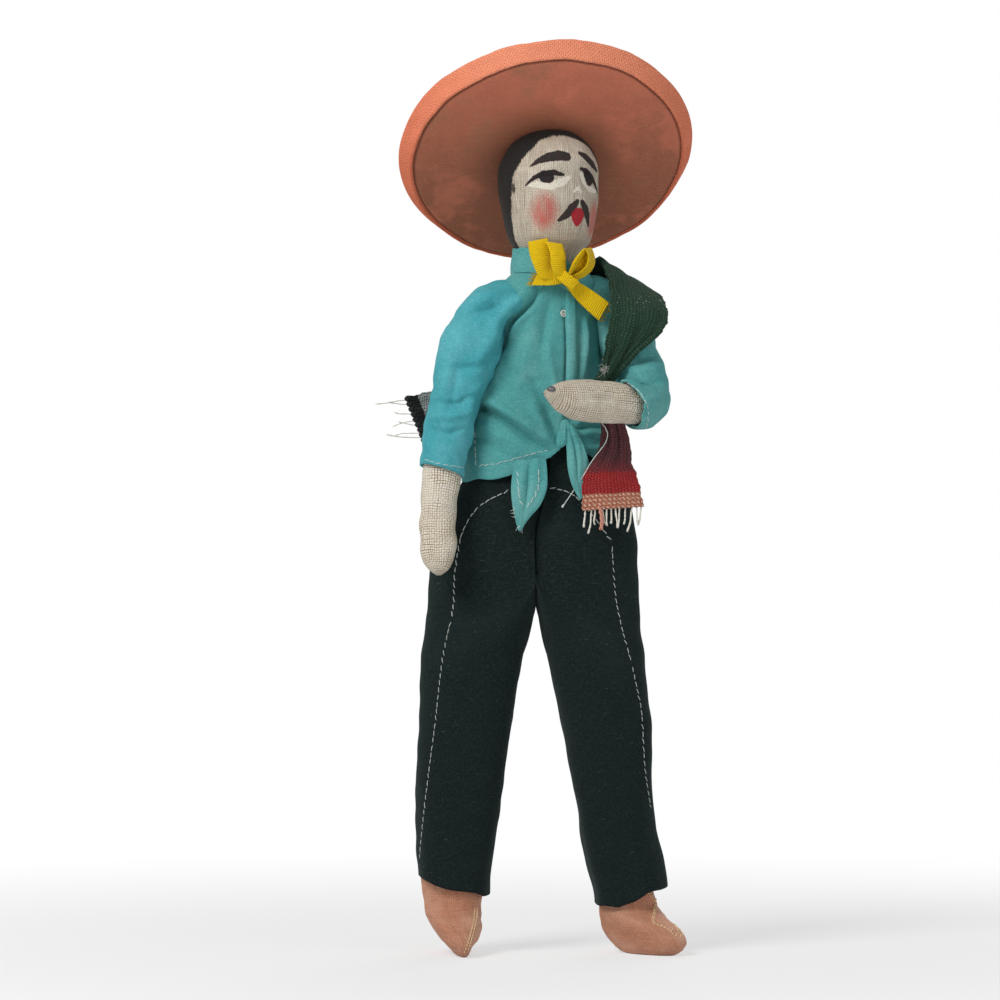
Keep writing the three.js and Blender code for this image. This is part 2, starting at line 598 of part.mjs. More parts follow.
add(head, 'head', surface(solid(headShape(0))), LINEN);

const hatFrame = new THREE.Matrix4().makeTranslation(HAT_X, HAT_Y, HAT_Z)
  .multiply(new THREE.Matrix4().makeRotationZ(rad(HAT_TURN)))
  .multiply(new THREE.Matrix4().makeRotationX(rad(-HAT_TILT)));
const headRoom = solid(headShape(GAP));
function hatPiece(points, sides) {
  const shape = new THREE.LatheGeometry(points.map(([r, z]) => new THREE.Vector2(r, z)), sides);
  return cut(solid(place(shape.rotateX(Math.PI / 2), hatFrame)), headRoom);
}
const OPENING = CROWN_TOP_R + 2;
const disc = (r, z0, z1) => [[OPENING, z0], [r, z0], [r, z1], [OPENING, z1], [OPENING, z0]];
const flare = rad(RIM_FLARE);
const rimOut = RIM_H * Math.sin(flare);
const rimUp = RIM_H * Math.cos(flare);
const brimLow = LINING_T + GAP;
const crownLow = brimLow + BRIM_T + GAP;
add(head, 'hat_lining', surface(hatPiece(disc(BRIM_R - GAP, 0, LINING_T), 36)), TERRACOTTA);
add(head, 'hat_brim', surface(hatPiece(disc(BRIM_R - GAP, brimLow, brimLow + BRIM_T), 36)), CORAL);
add(head, 'hat_rim', surface(hatPiece([
  [BRIM_R, 0], [BRIM_R + RIM_T, 0], [BRIM_R + RIM_T + rimOut / 2, rimUp / 2],
  [BRIM_R + RIM_T + rimOut, rimUp], [BRIM_R + rimOut, rimUp], [BRIM_R + rimOut / 2, rimUp / 2], [BRIM_R, 0],
], 36)), CORAL);
add(head, 'hat_crown', surface(hatPiece([
  [0, crownLow], [CROWN_R, crownLow], [CROWN_R - 0.6, crownLow + CROWN_H * 0.25],
  [(CROWN_R + CROWN_TOP_R) / 2 + 1, crownLow + CROWN_H * 0.6], [CROWN_TOP_R + 0.6, crownLow + CROWN_H * 0.85],
  [CROWN_TOP_R * 0.6, crownLow + CROWN_H * 0.97], [0, crownLow + CROWN_H],
], 20)), CORAL);

// Bow
const bowAt = onShirt(BOW_Z, BOW_ANGLE, GAP + BOW_KNOT);
bowAt.y = Math.min(bowAt.y, -(COLLAR_R + SHIRT_CLOTH + GAP + BOW_KNOT) * Math.cos(rad(TURN + BOW_ANGLE)));
const bowYaw = TURN + BOW_ANGLE;
const bowBall = (grow) => place(new THREE.SphereGeometry(1, 12, 8),
  new THREE.Matrix4().makeScale(BOW_KNOT + grow, BOW_KNOT * 0.8 + grow, BOW_KNOT + grow),
  tilted(bowAt.toArray(), 0, 0, bowYaw));
add(torso, 'bow_knot', bowBall(0), YELLOW);

// A loop of ribbon that leaves the knot along its local X, with its width along local Z.
function ribbonLoop(length, width) {
  const outline = (grow) => {
    const shape = new THREE.Path();
    const r = LOOP_OPEN + grow;
    shape.moveTo(RIBBON - grow + 0.1, 0);
    shape.bezierCurveTo(length * 0.3, -r * 1.5, length * 0.8, -r * 1.7, length - RIBBON + grow, 0);
    shape.bezierCurveTo(length * 0.8, r * 1.7, length * 0.3, r * 1.5, RIBBON - grow + 0.1, 0);
    return shape;
  };
  const shape = new THREE.Shape(outline(RIBBON).getPoints(8));
  shape.holes.push(new THREE.Path(outline(0).getPoints(8).reverse()));
  const loop = new THREE.ExtrudeGeometry(shape, { depth: width, bevelEnabled: false, steps: 1 });
  return loop.translate(0, 0, -width / 2);
}
function bowLoop(length, width, pitch, roll, swing) {
  const m = new THREE.Matrix4().makeTranslation(...bowAt.toArray())
    .multiply(new THREE.Matrix4().makeRotationZ(rad(bowYaw + swing)))
    .multiply(new THREE.Matrix4().makeRotationY(rad(pitch)))
    .multiply(new THREE.Matrix4().makeRotationX(rad(roll)))
    .multiply(new THREE.Matrix4().makeTranslation(BOW_KNOT * 0.72, 0, 0));
  return place(ribbonLoop(length, width), m);
}
const bowRoom = solid(bowBall(GAP));
const bowPieces = {
  bow_loop_right: cut(solid(bowLoop(LOOP_RIGHT_L, LOOP_RIGHT_W, -138, 0, 6)), bowRoom),
  bow_loop_left: cut(solid(bowLoop(LOOP_LEFT_L, LOOP_LEFT_W, -48, 78, -14)), bowRoom),
};
function bowTail(length, width, dx, dz, off) {
  const d = new THREE.Vector2(dx, dz).normalize();
  const w = [d.y * -width / 2, 0, (d.x * width) / 2];
  const s = BOW_KNOT * 0.9;
  const at = (t, f) => {
    const x = bowAt.x + d.x * t;
    const z = bowAt.z + d.y * t;
    return [x, Math.min(front(z, x, off), bowAt.y + f), z];
  };
  return strip([
    [...at(s, 0.6), w[0] * 0.5, 0, w[2] * 0.5, 0.3],
    [...at(length * 0.5, 0.2), w[0] * 0.85, 0, w[2] * 0.85, 0],
    [...at(length, -0.9), ...w, 0],
  ], 4, 4, RIBBON, 0.2);
}
bowPieces.bow_tail_right = cut(solid(bowTail(END_BOW_L, END_BOW_W, -1, -0.05, 1.4)), bowRoom);
bowPieces.bow_tail_left = cut(solid(bowTail(TAIL_BOW_L, TAIL_BOW_W, 36, -32, 1.6)), bowRoom);
for (const [name, shape] of Object.entries(bowPieces)) add(torso, name, surface(shape), YELLOW);

// Legs
const legTop = solid(new THREE.CylinderGeometry(HIP_R, HIP_R, 4 * LEG_OUT, 32).rotateZ(Math.PI / 2)
  .translate(0, 0, HIP_Z)).add(solid(new THREE.BoxGeometry(4 * LEG_OUT, 4 * HIP_R, HIP_Z)
  .translate(0, 0, HIP_Z / 2)));

for (const leg of SIDES) {
  const { name, side, hemIn, hemOut, calfOut, hemZ, slope } = leg;
  const row = (z, inner, outer, depth) => [z, (side * (inner + outer)) / 2, 0, (outer - inner) / 2, depth, 0];
  const rows = [
    row(hemZ, hemIn, hemOut, LEG_DEPTH),
    row(hemZ + 12, hemIn - 1.6, calfOut, LEG_DEPTH + 0.1),
    row((hemZ + CROTCH_Z) / 2, hemIn * 0.52, (calfOut + LEG_OUT) / 2 + 0.6, (LEG_DEPTH + HIP_R) / 2),
    row(CROTCH_Z, 0.5, LEG_OUT + 0.4, HIP_R - 0.5),
    row(HIP_Z, GAP / 2, LEG_OUT - 0.8, HIP_R),
    row(HIP_Z + HIP_R + 1, GAP / 2, LEG_OUT - 4, HIP_R),
  ];
  const middle = (side * (hemIn + hemOut)) / 2;
  const hemPlane = new THREE.Matrix4().makeTranslation(middle, 0, hemZ)
    .multiply(new THREE.Matrix4().makeRotationY(-side * Math.atan2(slope, hemOut - hemIn)));
  const below = solid(place(new THREE.BoxGeometry(4 * LEG_OUT, 4 * HIP_R, 2 * LEG_OUT)
    .translate(0, 0, -LEG_OUT), hemPlane));
  const first = rows[0].slice();
  first[0] = hemZ - 5; // the hem is cut square from a leg that runs on below it
  const legRows = [first, ...rows];
  const outer = solid(upright(legRows, [
    hemZ - 5, ...steps(hemZ, CROTCH_Z, 6), ...steps(CROTCH_Z + 6, HIP_Z + HIP_R + 1, 3)], 20));
  const hollow = solid(upright([[hemZ - 9, ...first.slice(1)], ...legRows], [hemZ - 9, hemZ - 5,
    ...steps(hemZ, CROTCH_Z, 4), CROTCH_Z + 8, HIP_Z - FELT], 16, -FELT));
  const room = (z) =>
    -FELT - GAP - LEG_PLAY * THREE.MathUtils.clamp((CROTCH_Z - z) / (CROTCH_Z - hemZ), 0, 1);
  const legLow = hemZ + TUCK;
  const legCore = solid(upright(rows, [
    ...steps(legLow, CROTCH_Z, 4), CROTCH_Z + 8, HIP_Z - FELT - GAP], 16, room));
  const middleCut = solid(new THREE.BoxGeometry(2 * LEG_OUT, 4 * HIP_R, 3 * HIP_Z)
    .translate(side * (GAP / 2 - LEG_OUT), 0, HIP_Z));
  const trouser = cut(outer.intersect(legTop), hollow, below, middleCut);

  // The foot: one stack of level outlines with its toe turned out, and a flat sole.
  const toe = rad(side * leg.toe);
  const footRow = (z, half, heel, reach) => {
    const mid = (heel - reach) / 2;
    return [z, middle - mid * Math.sin(toe), mid * Math.cos(toe), half, (heel + reach) / 2, side * leg.toe];
  };
  const footRows = [
    footRow(0, SOLE_HALF, FOOT_HEEL - 2.6, FOOT_TOE - 4),
    footRow(1.6, SOLE_HALF + 1.6, FOOT_HEEL - 0.9, FOOT_TOE - 0.9),
    footRow(4, SOLE_HALF + 3, FOOT_HEEL, FOOT_TOE),
    footRow(7, ANKLE_HALF - 1.6, FOOT_HEEL - 0.2, FOOT_TOE - 3.2),
    footRow(10.5, ANKLE_HALF - 0.5, FOOT_HEEL - 0.6, FOOT_TOE - 8),
    footRow(INSTEP_Z, ANKLE_HALF - 0.3, FOOT_HEEL - 1.3, ANKLE_HALF - 1.1),
    footRow(hemZ + 4, ANKLE_HALF - 1.5, FOOT_HEEL - 2.3, ANKLE_HALF - 2.4),
    footRow(legLow - GAP, ANKLE_HALF - 2.4, FOOT_HEEL - 3, ANKLE_HALF - 3.2),
  ];
  const foot = solid(upright(footRows, [0, 1.6, 4, 7, 10.5, INSTEP_Z, hemZ + 1, legLow - GAP], 18));
  const group = new THREE.Group();
  torso.add(group);
  add(group, `${name}_trouser_leg`, surface(trouser), TROUSERS);
  add(group, `${name}_leg`, surface(legCore), STUFFING);
  add(group, `${name}_foot`, surface(foot), TAN);
}

// Sarape
const W = SARAPE_W;
const P = PINCH_W;
const S = SHOULDER_Z;
const sarapeRows = [
  [22.4, front(S - 58, 22, 3.2), S - 58.6, W + 0.4, 0, 0.5, 0],
  [21.6, front(S - 50, 21.6, 2.5), S - 49.7, W - 0.4, 0, 0, 0],
  [22.2, front(S - 41, 22, 2.2), S - 41.4, P + 1.4, 0, 0, 0.8],
  [20.2, front(S - 34, 20, 2.6), S - 34, P, 0, 0, GATHER],
  [18.8, front(S - 28, 18.6, 3.3), S - 28, P - 0.6, 0, 0, GATHER],
  [19, -10.8, S - 23.4, P - 0.6, 0, 0.2, GATHER],
  [21.6, -13.9, S - 19.2, P - 0.2, 0, 0.6, GATHER],
  [24.8, -14.8, S - 14.6, P + 2.2, 0, 1.8, 0.6],
  [28, -14.8, S - 9.4, W - 0.6, 0.6, 1.2, 0],
  [30.4, -11.2, S - 1.4, W, 1.2, -0.8, 0],
  [27.6, 0.6, S + 8.6, W - 0.8, 0, -4.6, 0],
  [21.6, 11.4, S + 8.4, W - 1.4, 1.2, -5, 0],
  [13.4, 16.2, S - 2, W - 2, 1, -5, 0],
  [2, 16.2, S - 15, W - 2.4, 0, -5.4, 0],
  [-10, 16, S - 25, W - 3.6, 0.4, -6.4, 0],
  [-21, 13.6, S - 29.6, 3, 1, -7.2, 0],
  [-34.6, 9, S - 32.6, 2.6, 0.6, -6.6, 0],
];
// The cloth rests on the shirt wherever it would sink into it.
const onBody = (at, half) => {
  const room = GAP * 6 + half;
  if (at.z < SHOULDER_Z && at.y < 0) at.y = Math.min(at.y, front(at.z, at.x, room));
  if (at.z < SHOULDER_Z && at.y > 0) at.y = Math.max(at.y, -front(at.z, at.x, -room));
};
const sarape = strip(sarapeRows, 30, 6, SARAPE_CLOTH, 0.3, onBody);
add(torso, 'sarape', sarape, GREEN);

// Fringe: a heading thread with single threads that hang from it, all one piece.
function fringe(start, across, down, count, lengths) {
  const a = V(across);
  const d = V(down).normalize();
  const side = a.clone().normalize();
  const thick = new THREE.Vector3().crossVectors(side, d);
  const bar = (p, along, half, length) => {
    const u = along === d ? side : d;
    return solid(loft([0, 1].map((end) => [[-1, -1], [1, -1], [1, 1], [-1, 1]].map(([i, j]) => p.clone()
      .addScaledVector(along, end * length).addScaledVector(u, i * half).addScaledVector(thick, j * half)))));
  };
  let all = bar(V(start).addScaledVector(a, -1), side, THREAD / 2, 2 * a.length());
  for (let i = 0; i < count; i += 1) {
    const u = -1 + (2 * i + 1) / count;
    const p = V(start).addScaledVector(a, u);
    all = all.add(bar(p, d, THREAD * 0.42, lengths[i % lengths.length]));
  }
  return all;
}
const FRINGE_STEPS = [1, 0.86, 1.05, 0.92, 0.8].map((f) => f * FRINGE_L);
const [fx, fy, fz, fw] = sarapeRows[0];
add(torso, 'sarape_fringe_front', surface(fringe([fx, fy, fz - GAP - THREAD / 2], [fw - 0.6, 0, 0.45],
  [0, 0, -1], FRINGE_N, FRINGE_STEPS)), CREAM);
const [bx, by, bz, bwx, bwy, bwz] = sarapeRows[sarapeRows.length - 1];
add(torso, 'sarape_fringe_back', surface(fringe([bx - GAP - THREAD / 2 - 0.2, by, bz], [bwx, bwy, bwz],
  [-1, -0.1, 0.05], BACK_FRINGE_N, FRINGE_STEPS)), CREAM);
const [tackX, tackY, tackZ, , , , tackGain] = sarapeRows[6];
add(torso, 'sarape_tack', new THREE.SphereGeometry(TUFT_R, 10, 6)
  .translate(tackX - 0.6, tackY - (SARAPE_CLOTH + tackGain) / 2 - GAP * 1.6 - TUFT_R, tackZ + 0.6), CREAM);

// Bead at the tip of the left hand
const handWay = V(LEFT_TIP).sub(V(LEFT_ELBOW)).normalize();
const nailAt = V(LEFT_TIP).addScaledVector(handWay, -2.6).add(new THREE.Vector3(0, -NAIL_R - 2.2, 0));
add(forearms.left, 'left_hand_nail', new THREE.SphereGeometry(NAIL_R, 10, 6).translate(...nailAt), DARK_BEAD);

// The origin is on the floor, under the middle of the whole doll.
const extent = new THREE.Box3().setFromObject(doll);
const middleOf = extent.getCenter(new THREE.Vector3());
doll.position.set(-middleOf.x, -middleOf.y, -extent.min.z);

export default doll;
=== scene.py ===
"""A cloth folk doll: linen head and hands, turquoise shirt, felt trousers, sarape and wide hat.

Sizes are millimetres in the doll's own frame, with the floor at z = 0, the doll facing -Y and its
right hand towards -X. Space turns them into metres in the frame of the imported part.
"""

import json
import logging
import math
from dataclasses import dataclass, field
from enum import Enum
from typing import Sequence

import bpy
import numpy as np
from mathutils import Vector
from mathutils.bvhtree import BVHTree
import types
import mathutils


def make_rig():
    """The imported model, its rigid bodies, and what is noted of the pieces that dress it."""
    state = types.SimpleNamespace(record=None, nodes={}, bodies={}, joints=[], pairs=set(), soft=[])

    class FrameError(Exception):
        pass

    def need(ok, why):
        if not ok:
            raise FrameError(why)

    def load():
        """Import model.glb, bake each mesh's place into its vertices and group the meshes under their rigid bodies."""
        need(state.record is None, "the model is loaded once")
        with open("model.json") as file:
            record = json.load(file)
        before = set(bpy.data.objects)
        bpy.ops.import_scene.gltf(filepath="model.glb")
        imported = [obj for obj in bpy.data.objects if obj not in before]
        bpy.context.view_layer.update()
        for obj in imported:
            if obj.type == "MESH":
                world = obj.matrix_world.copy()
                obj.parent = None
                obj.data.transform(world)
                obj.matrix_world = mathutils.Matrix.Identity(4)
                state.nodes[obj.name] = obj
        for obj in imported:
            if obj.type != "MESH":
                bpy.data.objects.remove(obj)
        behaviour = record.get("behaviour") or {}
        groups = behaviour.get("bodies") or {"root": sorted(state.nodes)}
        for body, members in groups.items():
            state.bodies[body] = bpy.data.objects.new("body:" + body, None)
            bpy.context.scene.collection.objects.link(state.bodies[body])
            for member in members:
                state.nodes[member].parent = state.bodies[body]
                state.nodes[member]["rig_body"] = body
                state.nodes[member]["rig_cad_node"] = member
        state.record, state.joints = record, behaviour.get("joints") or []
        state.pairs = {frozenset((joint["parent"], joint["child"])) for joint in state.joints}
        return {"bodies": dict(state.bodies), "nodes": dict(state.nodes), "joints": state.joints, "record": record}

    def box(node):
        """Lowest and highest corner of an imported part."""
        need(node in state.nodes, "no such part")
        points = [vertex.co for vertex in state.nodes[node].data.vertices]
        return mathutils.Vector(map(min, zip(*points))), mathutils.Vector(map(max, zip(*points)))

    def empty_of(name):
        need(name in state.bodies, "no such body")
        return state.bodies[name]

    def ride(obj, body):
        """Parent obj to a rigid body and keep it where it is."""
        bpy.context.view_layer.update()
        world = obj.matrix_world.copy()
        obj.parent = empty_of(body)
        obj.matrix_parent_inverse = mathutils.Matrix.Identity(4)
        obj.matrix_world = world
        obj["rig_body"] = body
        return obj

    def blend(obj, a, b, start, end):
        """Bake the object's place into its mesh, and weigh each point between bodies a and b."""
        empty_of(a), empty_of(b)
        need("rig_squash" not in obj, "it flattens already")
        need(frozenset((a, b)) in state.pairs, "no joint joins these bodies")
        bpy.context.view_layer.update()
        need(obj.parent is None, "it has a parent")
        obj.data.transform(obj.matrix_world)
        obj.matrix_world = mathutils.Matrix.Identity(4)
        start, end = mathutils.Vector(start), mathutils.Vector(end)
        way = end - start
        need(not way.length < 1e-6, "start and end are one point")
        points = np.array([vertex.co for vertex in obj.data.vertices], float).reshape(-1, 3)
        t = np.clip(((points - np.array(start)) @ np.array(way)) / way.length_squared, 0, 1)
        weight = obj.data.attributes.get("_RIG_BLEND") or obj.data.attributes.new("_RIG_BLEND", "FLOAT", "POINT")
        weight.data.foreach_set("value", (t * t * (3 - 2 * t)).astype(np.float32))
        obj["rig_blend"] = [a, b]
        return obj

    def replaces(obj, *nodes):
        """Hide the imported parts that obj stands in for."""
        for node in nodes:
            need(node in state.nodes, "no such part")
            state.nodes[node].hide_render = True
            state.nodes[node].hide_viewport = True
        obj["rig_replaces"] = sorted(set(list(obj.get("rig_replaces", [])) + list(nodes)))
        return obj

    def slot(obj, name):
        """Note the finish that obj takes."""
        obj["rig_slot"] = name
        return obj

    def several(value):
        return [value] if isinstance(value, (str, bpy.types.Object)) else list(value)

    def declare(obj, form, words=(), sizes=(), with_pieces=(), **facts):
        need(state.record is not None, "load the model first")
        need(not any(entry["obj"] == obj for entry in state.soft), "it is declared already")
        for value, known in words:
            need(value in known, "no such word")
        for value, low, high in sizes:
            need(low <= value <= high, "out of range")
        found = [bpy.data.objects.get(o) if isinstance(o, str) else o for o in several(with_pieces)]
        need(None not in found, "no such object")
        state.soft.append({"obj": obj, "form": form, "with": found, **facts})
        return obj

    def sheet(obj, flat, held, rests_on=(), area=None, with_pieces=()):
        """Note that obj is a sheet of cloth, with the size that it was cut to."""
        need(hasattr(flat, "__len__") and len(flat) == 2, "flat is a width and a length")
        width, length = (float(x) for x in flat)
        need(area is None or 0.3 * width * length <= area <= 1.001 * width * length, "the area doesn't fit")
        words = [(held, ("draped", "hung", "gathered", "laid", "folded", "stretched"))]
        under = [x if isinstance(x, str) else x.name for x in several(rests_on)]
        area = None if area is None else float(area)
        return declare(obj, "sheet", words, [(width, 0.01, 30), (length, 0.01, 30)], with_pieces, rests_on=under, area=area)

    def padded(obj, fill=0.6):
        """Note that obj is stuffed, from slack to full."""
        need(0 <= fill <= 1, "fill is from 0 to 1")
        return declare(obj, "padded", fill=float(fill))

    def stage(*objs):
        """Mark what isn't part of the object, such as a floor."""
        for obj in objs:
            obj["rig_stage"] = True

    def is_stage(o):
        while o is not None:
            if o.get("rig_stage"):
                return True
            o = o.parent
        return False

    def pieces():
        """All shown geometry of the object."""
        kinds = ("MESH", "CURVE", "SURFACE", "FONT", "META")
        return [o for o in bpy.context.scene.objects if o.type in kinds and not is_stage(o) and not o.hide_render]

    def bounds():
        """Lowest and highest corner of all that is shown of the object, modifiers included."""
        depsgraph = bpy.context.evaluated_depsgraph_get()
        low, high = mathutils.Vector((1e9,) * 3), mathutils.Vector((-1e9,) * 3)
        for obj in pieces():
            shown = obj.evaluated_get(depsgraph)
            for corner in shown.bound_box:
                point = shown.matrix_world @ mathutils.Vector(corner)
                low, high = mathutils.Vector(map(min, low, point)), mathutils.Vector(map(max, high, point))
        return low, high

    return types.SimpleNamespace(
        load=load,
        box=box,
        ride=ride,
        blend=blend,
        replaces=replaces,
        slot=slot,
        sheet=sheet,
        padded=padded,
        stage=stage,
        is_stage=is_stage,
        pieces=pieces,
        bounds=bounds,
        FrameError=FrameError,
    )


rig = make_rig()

LOG = logging.getLogger("doll")
MM = 0.001
FRONT = -math.pi / 2
ROUND = 2 * math.pi
# The upright sheet's pixels to a millimetre, the column of the doll's middle and the row of its floor.
SHEET_SCALE = 3.43
SHEET_MIDDLE = 535
SHEET_FLOOR = 952
NECK_X = 4.4
HEAD_RADIUS = 14
Triple = tuple[float, float, float]
Pair = tuple[float, float]
Line = tuple[Pair, ...]
Rows = tuple[tuple[float, ...], ...]


# Shader maths


class Socket:
    """A shader output that takes part in Python expressions. Numbers only."""

    def __init__(self, graph: "Graph", out: bpy.types.NodeSocket) -> None:
        """Wraps one output of one node."""
        self.graph = graph
        self.out = out

    def _op(self, operation: str, *values: "Socket | float", clamp: bool = False) -> "Socket":
        """One Math node on the given values."""
        return self.graph.node(
            "ShaderNodeMath", {"operation": operation, "use_clamp": clamp}, *values
        )

    def __add__(self, other: "Socket | float") -> "Socket":
        """Sum."""
        return self._op("ADD", self, other)

    def __sub__(self, other: "Socket | float") -> "Socket":
        """Difference."""
        return self._op("SUBTRACT", self, other)

    def __rsub__(self, other: float) -> "Socket":
        """Difference from a number."""
        return self._op("SUBTRACT", other, self)

    def __mul__(self, other: "Socket | float") -> "Socket":
        """Product."""
        return self._op("MULTIPLY", self, other)

    def __truediv__(self, other: "Socket | float") -> "Socket":
        """Quotient."""
        return self._op("DIVIDE", self, other)

    def __pow__(self, other: float) -> "Socket":
        """Power."""
        return self._op("POWER", self, other)

    def __abs__(self) -> "Socket":
        """Size without sign."""
        return self._op("ABSOLUTE", self)

    def sin(self) -> "Socket":
        """Sine of an angle in radians."""
        return self._op("SINE", self)

    def sqrt(self) -> "Socket":
        """Square root."""
        return self._op("SQRT", self)

    def clamp(self) -> "Socket":
        """The value held between 0 and 1."""
        return self._op("ADD", self, 0.0, clamp=True)

    def least(self, other: "Socket | float") -> "Socket":
        """The smaller of two."""
        return self._op("MINIMUM", self, other)

    def most(self, other: "Socket | float") -> "Socket":
        """The larger of two."""
        return self._op("MAXIMUM", self, other)

    def rise(self, low: float, high: float) -> "Socket":
        """A smooth step.

        Args:
            low: where the step is 0.
            high: where it is 1. It may be below low, for a step down.

        Returns:
            The step's height.
        """
        if low < high:
            return self.graph.node(
                "ShaderNodeMapRange", {"interpolation_type": "SMOOTHSTEP"}, self, low, high, 0.0, 1.0
            )
        return 1.0 - self.rise(high, low)


class Graph:
    """The node tree of one material, with the few moves that the finishes need."""

    def __init__(self, tree: bpy.types.NodeTree, end: str) -> None:
        """Empties a node tree but for its output node."""
        self.tree = tree
        self.material: bpy.types.Material | None = None
        tree.nodes.clear()
        self.end = tree.nodes.new(end)

    @classmethod
    def of_material(cls, name: str) -> "Graph":
        """The nodes of a new material."""
        material = bpy.data.materials.new(name)
        material.use_nodes = True
        graph = cls(material.node_tree, "ShaderNodeOutputMaterial")
        graph.material = material
        return graph

    def node(self, kind: str, settings: dict | None = None, *values: object, **named: object) -> Socket:
        """Adds a node.

        Args:
            kind: the node's type.
            settings: its settings, set first; "stops" are a ramp's and "out" picks the output.
            values: values or links for its inputs in order; None leaves one as it is.
            named: the same by input name, with _ for a space.

        Returns:
            The picked output.
        """
        made = self.tree.nodes.new(kind)
        settings = dict(settings or {})
        out = settings.pop("out", 0)
        for place, colour in settings.pop("stops", ()):
            stops = made.color_ramp.elements
            stop = stops[0] if place == 0 else stops[-1] if place == 1 else stops.new(place)
            stop.color = (*colour, 1.0)
        for key, value in settings.items():
            setattr(made, key, value)
        for key, value in [*enumerate(values), *named.items()]:
            if value is None:
                continue
            target = made.inputs[key.replace("_", " ") if isinstance(key, str) else key]
            if isinstance(value, Socket):
                self.tree.links.new(value.out, target)
            else:
                target.default_value = value
        return Socket(self, made.outputs[out])

    def uv(self) -> tuple[Socket, Socket]:
        """The cloth's own lengths in millimetres, across and along."""
        at = self.node("ShaderNodeUVMap", {"uv_map": "cloth"})
        return (
            self.node("ShaderNodeSeparateXYZ", {"out": 0}, at),
            self.node("ShaderNodeSeparateXYZ", {"out": 1}, at),
        )

    def noise(
        self, at: Sequence["Socket | float"], scale: float, detail: float = 2.0, rough: float = 0.5
    ) -> Socket:
        """Soft noise from 0 to 1 at a place of two or three numbers."""
        place = self.node("ShaderNodeCombineXYZ", {}, *at)
        return self.node("ShaderNodeTexNoise", {}, Vector=place, Scale=scale, Detail=detail, Roughness=rough)

    def mix(self, first: object, second: object, share: Socket | float) -> Socket:
        """A colour between two colours, each three numbers or a link.

        Args:
            first: the colour at 0.
            second: the colour at 1.
            share: how much of the second shows.

        Returns:
            The colour.
        """
        pair = [c if isinstance(c, Socket) else (*c, 1.0) for c in (first, second)]
        return self.node(
            "ShaderNodeMix", {"data_type": "RGBA", "out": 2},
            share, None, None, None, None, None, *pair,
        )

    def surface(
        self, colour: Socket, roughness: Socket | float, height: Socket | None = None,
        depth: float = 0.1, sheen: float = 0.0, sheen_colour: Triple = (1.0, 1.0, 1.0),
        specular: float = 0.2,
    ) -> bpy.types.Material:
        """Ends the material in a cloth or paint surface.

        Args:
            colour: the base colour.
            roughness: the roughness.
            height: the relief, from 0 to 1.
            depth: the relief's depth in millimetres.
            sheen: strength of the soft edge light of cloth.
            sheen_colour: its colour.
            specular: how much plain gloss there is.

        Returns:
            The material.
        """
        normal = None
        if height is not None:
            normal = self.node("ShaderNodeBump", {}, Strength=1.0, Distance=depth * MM, Height=height)
        shader = self.node(
            "ShaderNodeBsdfPrincipled", {}, Base_Color=colour, Roughness=roughness,
            Specular_IOR_Level=specular, Sheen_Weight=sheen, Sheen_Roughness=0.5,
            Sheen_Tint=(*sheen_colour, 1.0), Normal=normal,
        )
        self.tree.links.new(shader.out, self.end.inputs[0])
        return self.material


def plain_weave(graph: Graph, u: Socket, v: Socket, pitch: float) -> tuple[Socket, Socket, Socket, Socket]:
    """Threads that cross over and under.

    Args:
        graph: the material's nodes.
        u: the place across the cloth.
        v: the place along the cloth.
        pitch: the distance from thread to thread, in millimetres.

    Returns:
        The relief, the uneven tone of thick and thin threads, and the gaps between upright threads and
        between lying ones, all from 0 to 1.
    """
    sway = graph.noise((u, v), 0.22, 1.0) * 1.6
    warp = ((u / pitch + sway) * math.pi).sin()
    weft = ((v / pitch + sway) * math.pi).sin()
    relief = warp * weft * 0.3 + (abs(warp) + abs(weft)) * 0.35
    thick_warp = graph.noise((u / pitch, v * 0.06, 3.0), 1.1, 1.0)
    thick_weft = graph.noise((u * 0.06, v / pitch, 9.0), 1.1, 1.0)
    upright = (1.0 - abs(warp) + (thick_warp - 0.5) * 1.6).rise(0.4, 0.9)
    lying = (1.0 - abs(weft) + (thick_weft - 0.5) * 1.6).rise(0.4, 0.9)
    return relief.clamp(), (thick_warp + thick_weft) * 0.5, upright, lying


@dataclass(frozen=True)
class Finish:
    """How a piece looks. The material is made once."""

    name: str
    slot: str

    def material(self) -> bpy.types.Material:
        """The Blender material, made at the first call."""
        found = bpy.data.materials.get(self.name)
        return found or self.make(Graph.of_material(self.name))

    def make(self, graph: Graph) -> bpy.types.Material:
        """Builds the nodes.

        Args:
            graph: the material's nodes, with nothing but the output.

        Returns:
            The material.
        """
        raise NotImplementedError


